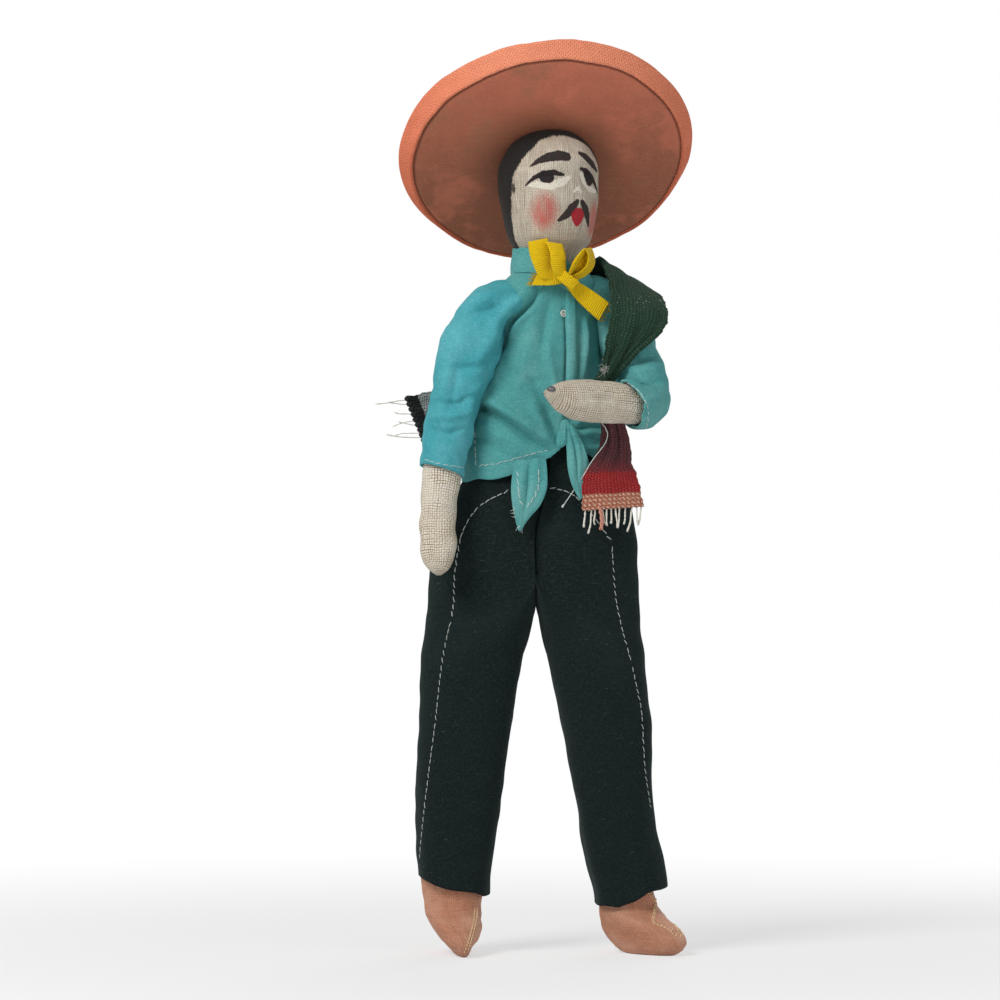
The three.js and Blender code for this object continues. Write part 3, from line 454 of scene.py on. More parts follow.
@dataclass(frozen=True)
class Woven(Finish):
    """Plain woven cotton or linen with uneven threads, patches of fading and a soft sheen."""

    colour: Triple = (0.5, 0.5, 0.5)
    shade: Triple = (0.3, 0.3, 0.3)
    worn: Triple = (0.7, 0.7, 0.7)
    pitch: float = 0.42
    depth: float = 0.12
    contrast: float = 0.5
    fading: float = 0.4
    roughness: float = 0.85
    sheen: float = 0.2
    gap: float = 0.0
    lying: float = 1.0
    grain: float = 0.0

    def cloth(self, graph: Graph) -> tuple[Socket, Socket, Socket]:
        """The cloth's colour, relief and roughness before anything is painted on it.

        Args:
            graph: the material's nodes.

        Returns:
            The three, in that order.
        """
        u, v = graph.uv()
        relief, tone, upright, lying = plain_weave(graph, u, v, self.pitch)
        colour = graph.mix(self.shade, self.colour, ((tone - 0.5) * 3.2 * self.contrast + 0.7).clamp())
        patches = graph.noise((u, v, 5.0), 0.07, 3.0, 0.6).rise(0.4, 0.7)
        colour = graph.mix(colour, self.worn, patches * self.fading)
        slubs = graph.noise((u * 1.7, v * 2.7, 4.0), 0.9, 3.0, 0.7)
        colour = graph.mix(colour, self.worn, slubs.rise(0.52, 0.72) * self.grain)
        colour = graph.mix(colour, self.shade, slubs.rise(0.48, 0.3) * self.grain)
        loose = graph.noise((u, v, 8.0), 0.12, 2.0).rise(0.3, 0.6) * 0.6 + 0.4
        gaps = upright.most(lying * self.lying) * loose
        colour = graph.mix(colour, self.shade, (gaps * self.gap).clamp())
        rough = relief * -0.12 + (self.roughness + 0.08)
        return colour, relief, rough

    def make(self, graph: Graph) -> bpy.types.Material:
        """Builds the nodes."""
        colour, relief, rough = self.cloth(graph)
        return graph.surface(colour, rough, relief, self.depth, self.sheen, self.worn)


@dataclass(frozen=True)
class HatCloth(Woven):
    """The hat's cloth: paler in random clouds, with painted light towards the front and painted shade behind, and on
    the lining painted shade near the head and in the crease at the rim.
    """

    clouds: float = 0.2
    # How strongly painted shade darkens the lining near the head.
    near: float = 0.0
    # How strongly painted light lightens the front and painted shade darkens the back.
    faded: float = 0.3
    radius: float = 0.0

    def make(self, graph: Graph) -> bpy.types.Material:
        """Builds the nodes."""
        colour, relief, rough = self.cloth(graph)
        u, v = graph.uv()
        clouds = graph.noise((u, v, 3.0), 0.035, 4.0, 0.7)
        # Painted light: lighter towards the front of the hat, where light falls, and painted shade towards its back.
        back = (u / self.radius).sin() * 45.0 if self.radius else v
        back = back + (clouds - 0.5) * 60.0
        colour = graph.mix(colour, self.worn, back.rise(10.0, -62.0) * self.faded)
        colour = graph.mix(colour, self.shade, back.rise(-6.0, 50.0) * self.faded * 0.8)
        colour = graph.mix(colour, self.worn, clouds.rise(0.52, 0.64) * self.clouds)
        if self.near:
            away = (u * u + v * v).sqrt()
            colour = graph.mix(colour, (0.34, 0.16, 0.088), clouds.rise(0.47, 0.34) * self.clouds * 1.3)
            # Painted shade on the lining near the head.
            colour = graph.mix(colour, self.shade, away.rise(27.0, 13.0) * self.near)
            # Painted shade in the crease where the lining turns up into the rim.
            colour = graph.mix(colour, (0.12, 0.04, 0.022), away.rise(38.5, 39.3) * 0.8)
            pulls = graph.noise((u * 0.12, v * 2.6, 6.0), 1.0, 2.0).rise(0.58, 0.75)
            colour = graph.mix(colour, self.worn, pulls * 0.3)
        return graph.surface(colour, rough, relief, self.depth, self.sheen, self.worn)


@dataclass(frozen=True)
class Felt(Finish):
    """Thick wool felt: a matted nap of short fibres with lint in it."""

    colour: Triple = (0.008, 0.0145, 0.0145)
    nap: Triple = (0.024, 0.037, 0.036)
    lint: Triple = (0.2, 0.24, 0.22)

    def make(self, graph: Graph) -> bpy.types.Material:
        """Builds the nodes."""
        u, v = graph.uv()
        bend = graph.noise((u, v), 0.5, 2.0) * 2.4
        fibres = graph.noise((u * 2.6 + bend, v * 0.9 + bend, 1.0), 1.0, 3.0, 0.65)
        cross = graph.noise((u * 0.8 - bend, v * 2.4 + bend, 7.0), 1.0, 3.0, 0.65)
        nap = fibres.most(cross)
        colour = graph.mix(self.colour, self.nap, nap.rise(0.45, 0.8))
        clouds = graph.noise((u, v, 2.0), 0.05, 2.0)
        colour = graph.mix(colour, self.nap, clouds.rise(0.5, 0.8) * 0.35)
        specks = graph.noise((u * 1.2 + bend, v * 3.4, 4.0), 0.9, 1.0).rise(0.77, 0.83)
        colour = graph.mix(colour, self.lint, specks * 0.45)
        for seed, (along, across) in enumerate(((0.5, 3.2), (2.8, 0.45), (1.9, -1.6))):
            stray = graph.noise((u * along + v * 0.3, v * across + u * 0.4, 20.0 + seed), 0.62, 0.0)
            colour = graph.mix(colour, self.lint, stray.rise(0.84, 0.9) * 0.16)
        return graph.surface(colour, 0.97, nap, 0.25, 0.18, (0.3, 0.38, 0.38), 0.06)


@dataclass(frozen=True)
class Grosgrain(Finish):
    """Ribbed ribbon: ribs across its length, with a faint weave on them."""

    colour: Triple = (1.0, 0.75, 0.006)
    groove: Triple = (0.9, 0.42, 0.0)
    pitch: float = 0.62

    def make(self, graph: Graph) -> bpy.types.Material:
        """Builds the nodes."""
        u, v = graph.uv()
        ribs = (v * (ROUND / self.pitch)).sin() * 0.5 + 0.5
        threads = (u * (ROUND / 0.42) + v * 3.0).sin() * 0.5 + 0.5
        height = ribs * 0.7 + threads * 0.3
        tone = graph.noise((u * 0.6, v * 2.0), 0.6, 3.0, 0.7)
        colour = graph.mix(self.groove, self.colour, (height * 0.7 + 0.3 + (tone - 0.5) * 0.7).clamp())
        colour = graph.mix(colour, (1.0, 0.85, 0.12), tone.rise(0.6, 0.8) * height * 0.5)
        return graph.surface(colour, 0.55, height, 0.3, 0.1, (1.0, 0.8, 0.2), 0.2)


class Band(Enum):
    """The stripes of the sarape: how far each reaches from the front end, its edge's softness, its colour."""

    SALMON = (4.4, 0.2, (0.49, 0.175, 0.105))
    RED = (10.6, 0.6, (0.38, 0.027, 0.03))
    CRIMSON = (13.0, 2.4, (0.2, 0.033, 0.04))
    MAROON = (27.5, 0.8, (0.12, 0.037, 0.042))
    GREEN = (158.0, 0.3, (0.021, 0.058, 0.035))
    GREY = (162.8, 0.3, (0.42, 0.43, 0.42))
    BLACK = (400.0, 0.3, (0.02, 0.021, 0.021))


@dataclass(frozen=True)
class StripedWeave(Finish):
    """Coarse tapestry weave: packed weft ribs over a warp that shows as pale specks."""

    rib: float = 0.78
    warp: float = 1.0

    def make(self, graph: Graph) -> bpy.types.Material:
        """Builds the nodes."""
        u, v = graph.uv()
        sway = graph.noise((u * 0.6, v * 0.6), 0.5, 2.0)
        step = (u * (math.pi / self.warp)).sin() * 0.24
        rows = ((v + sway * 0.9 + step) * (ROUND / self.rib)).sin() * 0.5 + 0.5
        humps = abs((u * (math.pi / self.warp)).sin())
        height = (rows * 0.6 + humps * 0.55).clamp()
        bands = list(Band)
        colour: object = bands[0].value[2]
        edge = v + (sway - 0.5) * 0.8
        for before, band in zip(bands, bands[1:]):
            reach, soft, _ = before.value
            colour = graph.mix(colour, band.value[2], edge.rise(reach - soft, reach + soft))
        rows_of = (v * (ROUND / 1.2)).sin().rise(-0.5, 0.3)
        twist = (u * 4.6 + v * 4.2).sin().rise(-0.1, 0.5) * rows_of
        front = Band.SALMON.value[0]
        salmon = edge.rise(front, front - 0.4)
        colour = graph.mix(colour, (0.86, 0.62, 0.5), twist * salmon * 0.75)
        shadow = height.rise(0.5, 0.12)
        colour = graph.mix(colour, (0.004, 0.006, 0.005), shadow * (1.0 - salmon * 0.7) * 0.32)
        tone = graph.noise((u * 1.4, v * 0.5, 3.0), 1.0, 3.0, 0.6)
        # Painted highlight: paler grey-green on the raised tops of the ribs, uneven at random.
        colour = graph.mix(colour, (0.5, 0.6, 0.52), (humps * rows * tone).rise(0.3, 0.6) * 0.09)
        specks = graph.noise((u / self.warp, v / self.rib, 8.0), 1.3, 0.0).rise(0.7, 0.76)
        belt = graph.noise((u * 0.1, v * 0.1, 6.0), 1.0, 0.0).rise(0.46, 0.6) * edge.rise(56.0, 66.0)
        colour = graph.mix(colour, (0.4, 0.45, 0.4), specks * belt * (1.0 - rows) * 0.55)
        return graph.surface(colour, 0.95, height, 0.5, 0.12, (0.5, 0.6, 0.5), 0.1)


@dataclass(frozen=True)
class Yarn(Finish):
    """Spun thread, with its twist."""

    colour: Triple = (0.7, 0.66, 0.55)
    shade: Triple = (0.42, 0.37, 0.28)

    def make(self, graph: Graph) -> bpy.types.Material:
        """Builds the nodes."""
        u, v = graph.uv()
        twist = ((u * 2.0 + v * 4.2) * math.pi).sin() * 0.5 + 0.5
        colour = graph.mix(self.shade, self.colour, (twist * 0.5 + 0.5).clamp())
        return graph.surface(colour, 0.9, twist, 0.06, 0.15, self.colour, 0.15)


@dataclass(frozen=True)
class Bead(Finish):
    """Dark painted bead with a grey middle that is a painted highlight, mottled at random."""

    def make(self, graph: Graph) -> bpy.types.Material:
        """Builds the nodes."""
        u, v = graph.uv()
        worn = graph.noise((u, v), 1.6, 3.0, 0.7)
        # Painted highlight: the middle of the bead, which faces the front, is painted grey.
        middle = v.rise(1.5, 2.3)
        share = (middle * 0.7 + (worn - 0.5) * 0.6).clamp()
        colour = graph.mix((0.012, 0.012, 0.014), (0.2, 0.2, 0.21), share)
        return graph.surface(colour, worn * 0.3 + 0.25, worn, 0.04, 0.0, (1.0, 1.0, 1.0), 0.5)


@dataclass(frozen=True)
class Stroke:
    """A brush stroke on the head's unrolled skin: points of place and half width in millimetres."""

    line: Rows

    def distance(self, u: Socket, v: Socket) -> Socket:
        """How far a place lies outside the stroke, negative inside.

        Args:
            u: the place round the head.
            v: its height.

        Returns:
            The distance.
        """
        found: Socket | None = None
        for (ax, ay, ar), (bx, by, br) in zip(self.line, self.line[1:]):
            dx, dy = bx - ax, by - ay
            pu, pv = u - ax, v - ay
            share = ((pu * dx + pv * dy) / (dx * dx + dy * dy)).clamp()
            qu, qv = pu - share * dx, pv - share * dy
            away = (qu * qu + qv * qv).sqrt() - (share * (br - ar) + ar)
            found = away if found is None else found.least(away)
        return found


@dataclass(frozen=True)
class PaintedHead(Woven):
    """Coarse linen with a face and hair painted on it by brush."""

    brows: tuple[Stroke, ...] = (
        Stroke((
            (-6, 228.2, 0.2), (-3.4, 229.8, 0.85), (-0.6, 230.8, 1.35), (2.6, 231.3, 1.5), (5, 231, 1.3))),
        Stroke(((9.9, 232.2, 0.6), (12.4, 231, 1.2), (15.1, 229.3, 1.2), (17.8, 227.3, 0.4))),
    )
    lids: tuple[Stroke, ...] = (
        Stroke((
            (-7.4, 222.7, 0.2), (-4.8, 224.8, 0.6), (-2.2, 226, 0.85), (0.9, 226.3, 0.85),
            (3.6, 225.7, 0.45))),
        Stroke(((-1.8, 225.1, 1.6), (-0.6, 224.9, 1.65))),
        Stroke((
            (9.6, 227.6, 0.5), (11.6, 226.9, 0.95), (14.3, 225.2, 0.95), (16.8, 222.7, 0.6),
            (19.4, 220.8, 0.25))),
        Stroke(((12, 225.9, 1.5), (12.9, 224.3, 1.6))),
    )
    whites: tuple[Stroke, ...] = (
        Stroke((
            (-6.4, 222.7, 0.35), (-3.2, 222.8, 1), (0.2, 222.5, 1.15), (3.6, 223.7, 1.1), (5.2, 224.9, 0.6))),
        Stroke(((9.5, 226, 0.6), (10.6, 224, 1.05), (13, 221.9, 0.95), (16.4, 221.4, 0.5))),
        Stroke(((6.9, 220.9, 0.3), (8.3, 222, 0.5), (9.3, 220.9, 0.25))),
    )
    moustache: tuple[Stroke, ...] = (
        Stroke(((8.2, 218, 0.75), (6.7, 216.2, 1.35), (5.1, 214.3, 1.2), (2.6, 212.6, 0.5))),
        Stroke(((9.9, 218, 0.75), (11.4, 216.1, 1.25), (12.7, 214, 1.15), (14.1, 211.3, 0.45))),
    )
    hairline: Stroke = Stroke((
        (-20.4, 205, 6), (-20, 213.6, 6.1), (-18.6, 221.5, 6.2), (-17.2, 228, 6.1), (-13.6, 234, 6),
        (-7.6, 241.5, 6.4), (0, 243.4, 6.2), (6, 243.5, 6.1), (13, 242.4, 6.1), (22.4, 238.2, 6),
        (25.6, 229.2, 6.1), (26.8, 222, 6.1), (27.4, 206, 6.1),
    ))

    def make(self, graph: Graph) -> bpy.types.Material:
        """Builds the nodes."""
        colour, relief, rough = self.cloth(graph)
        u, v = graph.uv()
        warp = graph.noise((u * 3.0, v * 0.14, 2.0), 1.0, 2.0)
        colour = graph.mix(colour, self.shade, warp.rise(0.52, 0.74) * 0.6)
        colour = graph.mix(colour, self.worn, warp.rise(0.46, 0.3) * 0.5)
        brush = (graph.noise((u, v, 1.0), 1.5, 3.0, 0.7) - 0.5) * 1.0
        grain = relief * 0.02 + 0.98
        for cu, cv, wide in ((-2.0, 215.2, 5.9), (17.4, 213.2, 6.0)):
            far = ((u - cu) * (u - cu) + (v - cv) * (v - cv) * 0.62).sqrt()
            blush = (far + brush * 2.4).rise(wide, wide * 0.3) * warp.rise(0.8, 0.4)
            colour = graph.mix(colour, (0.58, 0.085, 0.07), blush * 0.85)
        marks = (
            (self.whites, (0.86, 0.82, 0.7), 0.9),
            (self.brows, (0.024, 0.022, 0.022), 0.99),
            (self.lids, (0.016, 0.016, 0.018), 0.995),
            (self.moustache, (0.03, 0.026, 0.024), 0.985),
        )
        for strokes, paint, cover in marks:
            for stroke in strokes:
                edge = (stroke.distance(u, v) + brush * 0.65).rise(0.16, -0.12)
                colour = graph.mix(colour, paint, edge * cover * grain)
        heart = abs(u - 8.8) / 2.5
        lips = (heart ** 1.6 + (abs(v - 213.6 - heart * 0.5) / 2.9) ** 1.4).clamp() + brush * 0.2
        colour = graph.mix(colour, (0.45, 0.015, 0.03), lips.rise(1.0, 0.86) * 0.96)
        hair = self.hair(graph, u, v, brush)
        colour = graph.mix(colour, (0.0065, 0.0062, 0.0066), hair * (relief * 0.02 + 0.98))
        dab = ((u + 11.6) * (u + 11.6) + (v - 222.0) * (v - 222.0) * 0.3).sqrt()
        colour = graph.mix(colour, (0.035, 0.025, 0.022), (dab + brush).rise(1.1, 0.5) * 0.9)
        return graph.surface(colour, rough - hair * 0.25, relief, self.depth, self.sheen, self.worn)

    def hair(self, graph: Graph, u: Socket, v: Socket, brush: Socket) -> Socket:
        """Where the hair is painted: over the crown, down both sides and the back.

        Args:
            graph: the material's nodes.
            u: the place round the head, from the front.
            v: the height.
            brush: the unevenness of the brush.

        Returns:
            The hair's share.
        """
        bristles = (graph.noise((u * 2.4, v * 0.9, 4.0), 1.0, 2.0) - 0.5) * 2.6
        edge = (self.hairline.distance(u, v) + bristles * 0.5 + brush * 0.5).rise(0.35, -0.35)
        round_back = (abs(u - 3.3) + brush * 0.6).rise(20.5, 21.5)
        return edge.most(round_back) * (v + bristles).rise(203.0, 205.0)


FINISHES = {
    "shirt": Woven("shirt_cotton", "turquoise_cotton", (0.115, 0.43, 0.42), (0.04, 0.255, 0.275),
                   (0.34, 0.68, 0.62), 0.4, 0.12, 0.2, 0.28, 0.8, 0.12, gap=0.3, grain=0.42),
    "sleeve": Woven("sleeve_cotton", "turquoise_cotton", (0.08, 0.452, 0.505), (0.03, 0.26, 0.315),
                    (0.28, 0.74, 0.82), 0.4, 0.12, 0.2, 0.28, 0.8, 0.12, gap=0.3, grain=0.42),
    "linen": Woven("stuffed_linen", "linen", (1.0, 0.94, 0.8), (0.34, 0.25, 0.155),
                   (0.97, 0.94, 0.87), 0.74, 0.24, 0.45, 0.45, 0.9, 0.05, gap=1.0, grain=0.25),
    "head": PaintedHead("painted_linen", "linen", (0.74, 0.66, 0.53), (0.25, 0.2, 0.145),
                        (0.9, 0.85, 0.74), 0.62, 0.22, 0.35, 0.45, 0.9, 0.03, gap=0.85, lying=0.35,
                        grain=0.25),
    "coral": HatCloth("hat_linen", "coral_linen", (0.9, 0.27, 0.14), (0.64, 0.15, 0.07),
                      (1.0, 0.5, 0.34), 0.5, 0.16, 0.3, 0.12, 0.85, 0.12, gap=0.55, grain=0.4, faded=0.5),
    "rim": HatCloth("rim_linen", "coral_linen", (0.95, 0.265, 0.14), (0.64, 0.145, 0.07),
                    (1.0, 0.36, 0.21), 0.6, 0.24, 0.45, 0.12, 0.85, 0.12, gap=0.85, grain=0.5, faded=0.85,
                    radius=43.2),
    "lining": HatCloth("hat_lining_cloth", "brown_lining", (0.44, 0.148, 0.085), (0.24, 0.095, 0.05),
                       (0.8, 0.235, 0.14), 0.45, 0.06, 0.3, 0.12, 0.6, 0.06, gap=0.3, grain=0.4, near=0.7,
                       faded=0.8, clouds=0.4),
    "foot": Woven("foot_cloth", "tan_cloth", (0.66, 0.31, 0.19), (0.32, 0.12, 0.065),
                  (0.86, 0.54, 0.4), 0.6, 0.14, 0.4, 0.5, 0.62, 0.1, gap=0.45, grain=0.25),
    "felt": Felt("trouser_felt", "dark_felt"),
    "ribbon": Grosgrain("bow_grosgrain", "yellow_ribbon"),
    "sarape": StripedWeave("sarape_tapestry", "sarape_weave"),
    "cream": Yarn("cream_yarn", "cream_thread", (0.9, 0.88, 0.8), (0.6, 0.55, 0.45)),
    "white": Yarn("white_thread", "cream_thread", (0.76, 0.83, 0.78), (0.5, 0.58, 0.55)),
    "pink": Yarn("pink_yarn", "cream_thread", (0.72, 0.36, 0.28), (0.5, 0.18, 0.12)),
    "black": Yarn("black_yarn", "sarape_weave", (0.03, 0.032, 0.034), (0.008, 0.008, 0.01)),
    "grey": Yarn("grey_yarn", "cream_thread", (0.6, 0.6, 0.56), (0.3, 0.3, 0.28)),
    "dull": Yarn("dull_thread", "cream_thread", (0.6, 0.64, 0.6), (0.32, 0.36, 0.34)),
    "gold": Yarn("seam_thread", "cream_thread", (0.9, 0.68, 0.42), (0.62, 0.38, 0.18)),
    "bead": Bead("dark_bead", "dark_paint"),
}


# Shapes


@dataclass(frozen=True)
class Space:
    """Where the doll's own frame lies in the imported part's frame, in millimetres."""

    x: float
    y: float

    @classmethod
    def measured(cls, neck_x: float) -> "Space":
        """Reads the shift from the collar, whose middle is the neck's axis."""
        low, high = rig.box("collar")
        middle = (low + high) / 2 / MM
        return cls(middle.x - neck_x, middle.y)

    def metres(self, points: np.ndarray) -> np.ndarray:
        """Points of the doll's own frame, as metres in the part's frame."""
        return (np.asarray(points, float) + np.array([self.x, self.y, 0.0])) * MM

    def at(self, point: Sequence[float]) -> Vector:
        """One such point."""
        return Vector(self.metres(np.asarray(point, float)))


def between(rows: Sequence[Sequence[float]], keys: np.ndarray) -> np.ndarray:
    """Smooth values between rows.

    Args:
        rows: rows in the order of their first entry, which is the key.
        keys: the keys that are wanted.

    Returns:
        One row of values for each key, the key among them.
    """
    table = np.asarray(rows, float)
    keys = np.clip(np.atleast_1d(np.asarray(keys, float)), table[0, 0], table[-1, 0])
    last = len(table) - 1
    i = np.clip(np.searchsorted(table[:, 0], keys, side="right") - 1, 0, last - 1)
    a, b = table[i], table[i + 1]
    p, q = table[np.maximum(i - 1, 0)], table[np.minimum(i + 2, last)]
    f = ((keys - a[:, 0]) / (b[:, 0] - a[:, 0]))[:, None]
    m0 = np.where((i == 0)[:, None], b - a, (b - p) / 2)
    m1 = np.where((i + 2 > last)[:, None], b - a, (q - a) / 2)
    found = (
        (2 * f**3 - 3 * f**2 + 1) * a + (f**3 - 2 * f**2 + f) * m0
        + (3 * f**2 - 2 * f**3) * b + (f**3 - f**2) * m1
    )
    found[:, 0] = keys
    return found


def path(points: Sequence[Sequence[float]], count: int) -> np.ndarray:
    """A smooth line of count points through the given rows, evenly spaced along its length.

    Args:
        points: the rows, each with its place first.
        count: how many points the line gets.

    Returns:
        The points, with the rows' other values beside them.
    """
    rows = [(i, *p) for i, p in enumerate(points)]
    fine = between(rows, np.linspace(0, len(points) - 1, 24 * len(points)))[:, 1:]
    length = lengths(fine[:, :3])
    even = np.linspace(0, length[-1], count)
    return np.stack([np.interp(even, length, fine[:, k]) for k in range(fine.shape[1])], 1)


def unit(vectors: np.ndarray) -> np.ndarray:
    """The vectors at length 1."""
    return vectors / np.maximum(np.linalg.norm(vectors, axis=-1, keepdims=True), 1e-9)


def turns(count: int) -> np.ndarray:
    """Angles once round, in even steps."""
    return np.linspace(0, ROUND, count, endpoint=False)


def lengths(line: np.ndarray) -> np.ndarray:
    """How far along a line each of its points lies."""
    return np.r_[0, np.cumsum(np.linalg.norm(np.diff(line, axis=0), axis=1))]


def circles(line: np.ndarray, up: np.ndarray, count: int) -> np.ndarray:
    """Unit circles square to a line.

    Args:
        line: the line's points, each of which gets a circle.
        up: the direction that the circles start square to.
        count: how many points a circle has.

    Returns:
        The points, from the circles' middles.
    """
    along = unit(np.gradient(line, axis=0))
    across = unit(np.cross(along, up))
    thick = np.cross(across, along)
    angle = turns(count)
    return across[:, None] * np.cos(angle)[None, :, None] + thick[:, None] * np.sin(angle)[None, :, None]


def step(values: np.ndarray, low: float, high: float) -> np.ndarray:
    """A smooth step from 0 at low to 1 at high."""
    t = np.clip((values - low) / (high - low), 0, 1)
    return t * t * (3 - 2 * t)


@dataclass
class Ripple:
    """Gentle unevenness of cloth: a sum of seeded waves through space."""

    seed: int
    length: float
    height: float
    waves: int = 9

    def __call__(self, points: np.ndarray) -> np.ndarray:
        """The height at each point."""
        rng = np.random.default_rng(self.seed)
        total = np.zeros(points.shape[:-1])
        for _ in range(self.waves):
            way = unit(rng.normal(size=3)) * ROUND / (self.length * rng.uniform(0.6, 1.8))
            total += np.sin(points @ way + rng.uniform(0, ROUND))
        return total * self.height / math.sqrt(self.waves)


@dataclass(frozen=True)
class Fold:
    """A ridge or a crease along a line of x and z, on the front of the doll or on its back."""

    line: Line
    width: float
    height: float
    lean: float = 0.0
    back: bool = False

    def lift(self, points: np.ndarray, normals: np.ndarray) -> np.ndarray:
        """How far the fold moves each point outwards.

        Args:
            points: the cloth's points.
            normals: their outward normals.

        Returns:
            The heights.
        """
        x, z = points[..., 0], points[..., 2]
        total = sum(math.dist(a, b) for a, b in zip(self.line, self.line[1:]))
        best = np.full(x.shape, 1e9)
        along, side = np.zeros(x.shape), np.zeros(x.shape)
        gone = 0.0
        for a, b in zip(self.line, self.line[1:]):
            dx, dz, length = b[0] - a[0], b[1] - a[1], math.dist(a, b)
            share = np.clip(((x - a[0]) * dx + (z - a[1]) * dz) / length**2, 0, 1)
            qx, qz = x - a[0] - share * dx, z - a[1] - share * dz
            away = np.hypot(qx, qz)
            near = away < best
            best = np.where(near, away, best)
            along = np.where(near, (gone + share * length) / total, along)
            side = np.where(near, np.sign(dx * qz - dz * qx), side)
            gone += length
        taper = np.sin(np.pi * (0.04 + 0.92 * along)) ** 0.6
        width = self.width * (1 + self.lean * side)
        facing = step(normals[..., 1] * (1 if self.back else -1), -0.1, 0.45)
        return self.height * np.exp(-((best / width) ** 2)) * taper * facing


def normals_of(points: np.ndarray) -> np.ndarray:
    """Normals of a closed grid of points, on the side that rows and columns turn to by the right hand."""
    return unit(np.cross(np.roll(points, -1, 1) - np.roll(points, 1, 1), np.gradient(points, axis=0)))


def outward(points: np.ndarray, centre: np.ndarray | None = None) -> np.ndarray:
    """Normals of a closed grid, away from the given middle or else from each ring's own.

    Args:
        points: the grid.
        centre: the middles, where a ring's own won't do.

    Returns:
        The normals.
    """
    centre = points.mean(1, keepdims=True) if centre is None else centre
    out = normals_of(points)
    return np.where(((points - centre) * out).sum(-1, keepdims=True) < 0, -out, out)


class Bundle:
    """Collects closed and open bits of cloth and thread, and makes one object of them."""

    def __init__(self) -> None:
        """Starts empty."""
        self.points: list[np.ndarray] = []
        self.faces: list[tuple[int, ...]] = []
        self.uvs: list[Line] = []
        self.count = 0

    def grid(
        self, points: np.ndarray, uv: np.ndarray, closed: bool = False, caps: bool = False,
        flip: bool = False,
    ) -> "Bundle":
        """Adds a grid of quads.

        Args:
            points: rows by columns by 3.
            uv: the cloth's lengths, with one more column where the grid is closed.
            closed: whether the last column joins the first.
            caps: whether both ends are closed with a fan.
            flip: whether the faces turn the other way.

        Returns:
            The bundle.
        """
        rows, cols = points.shape[:2]
        first = self.count
        self.points.append(points.reshape(-1, 3))
        self.count += rows * cols
        for i in range(rows - 1):
            for j in range(cols if closed else cols - 1):
                k = (j + 1) % cols
                quad = [(i, j, j), (i, k, j + 1), (i + 1, k, j + 1), (i + 1, j, j)]
                self._face([first + a * cols + b for a, b, _ in quad],
                           [tuple(uv[a, c]) for a, _, c in quad], flip)
        if caps:
            for end in (0, rows - 1):
                self.points.append(points[end].mean(0)[None])
                middle = self.count
                self.count += 1
                for j in range(cols):
                    k = (j + 1) % cols
                    around = [tuple(uv[end, j]), tuple(uv[end, min(j + 1, uv.shape[1] - 1)])]
                    self._face([middle, first + end * cols + k, first + end * cols + j],
                               [around[0], around[1], around[0]], flip ^ (end > 0))
        return self

    def _face(self, corners: list[int], uv: list[Pair], flip: bool) -> None:
        """Adds one face."""
        self.faces.append(tuple(reversed(corners)) if flip else tuple(corners))
        self.uvs.append(tuple(reversed(uv)) if flip else tuple(uv))

    def tube(self, line: np.ndarray, radius: np.ndarray | float, sides: int) -> "Bundle":
        """Adds a thread along a line.

        Args:
            line: its points.
            radius: its radius, one or one for each point.
            sides: how many sides it has.

        Returns:
            The bundle.
        """
        radius = np.broadcast_to(np.asarray(radius, float), (len(line),))
        upright = abs(unit(np.gradient(line, axis=0))[:, 1].mean()) < 0.8
        up = np.array([0.0, -1.0, 0.0]) if upright else np.array([0.0, 0.0, 1.0])
        points = line[:, None] + circles(line, up, sides) * radius[:, None, None]
        uv = np.stack(np.meshgrid(np.linspace(0, 1, sides + 1), lengths(line)), -1)
        return self.grid(points, uv, closed=True, caps=True, flip=True)

    def build(
        self, name: str, space: Space, finish: Finish, thickness: float = 0.0,
        normals: np.ndarray | None = None, weld: float = 0.0,
    ) -> bpy.types.Object:
        """Makes the object.

        Args:
            name: its name.
            space: where the doll's frame lies.
            finish: its finish.
            thickness: how thick a sheet is made, to both sides of its points.
            normals: the points' normals, where they come from a larger form.
            weld: how near points must be to be joined.

        Returns:
            The object, with its mesh final.
        """
        mesh = bpy.data.meshes.new(name)
        mesh.from_pydata(space.metres(np.vstack(self.points)).tolist(), [], self.faces)
        layer = mesh.uv_layers.new(name="cloth")
        layer.data.foreach_set("uv", np.array([c for face in self.uvs for c in face], float).ravel())
        mesh.shade_smooth()
        mesh.materials.append(finish.material())
        made = bpy.data.objects.new(name, mesh)
        bpy.context.scene.collection.objects.link(made)
        if normals is not None:
            mesh.normals_split_custom_set_from_vertices(normals.reshape(-1, 3).tolist())
        if weld:
            join = made.modifiers.new("seam", "WELD")
            join.merge_threshold = weld * MM
            made = settled(made)
        if thickness:
            shell = made.modifiers.new("thickness", "SOLIDIFY")
            shell.thickness = thickness * MM
            shell.offset = 0.0
            shell.use_even_offset = False
            shell.use_rim = True
            made = settled(made)
        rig.slot(made, finish.slot)
        LOG.info("%s: %d faces", name, len(made.data.polygons))
        return made


def settled(piece: bpy.types.Object) -> bpy.types.Object:
    """Applies the modifiers of a piece, so that its mesh is final.

    Args:
        piece: the piece.

    Returns:
        The same piece.
    """
    seen = piece.evaluated_get(bpy.context.evaluated_depsgraph_get())
    mesh = bpy.data.meshes.new_from_object(seen)
    old = piece.data
    piece.modifiers.clear()
    piece.data = mesh
    mesh.name = old.name
    bpy.data.meshes.remove(old)
    return piece


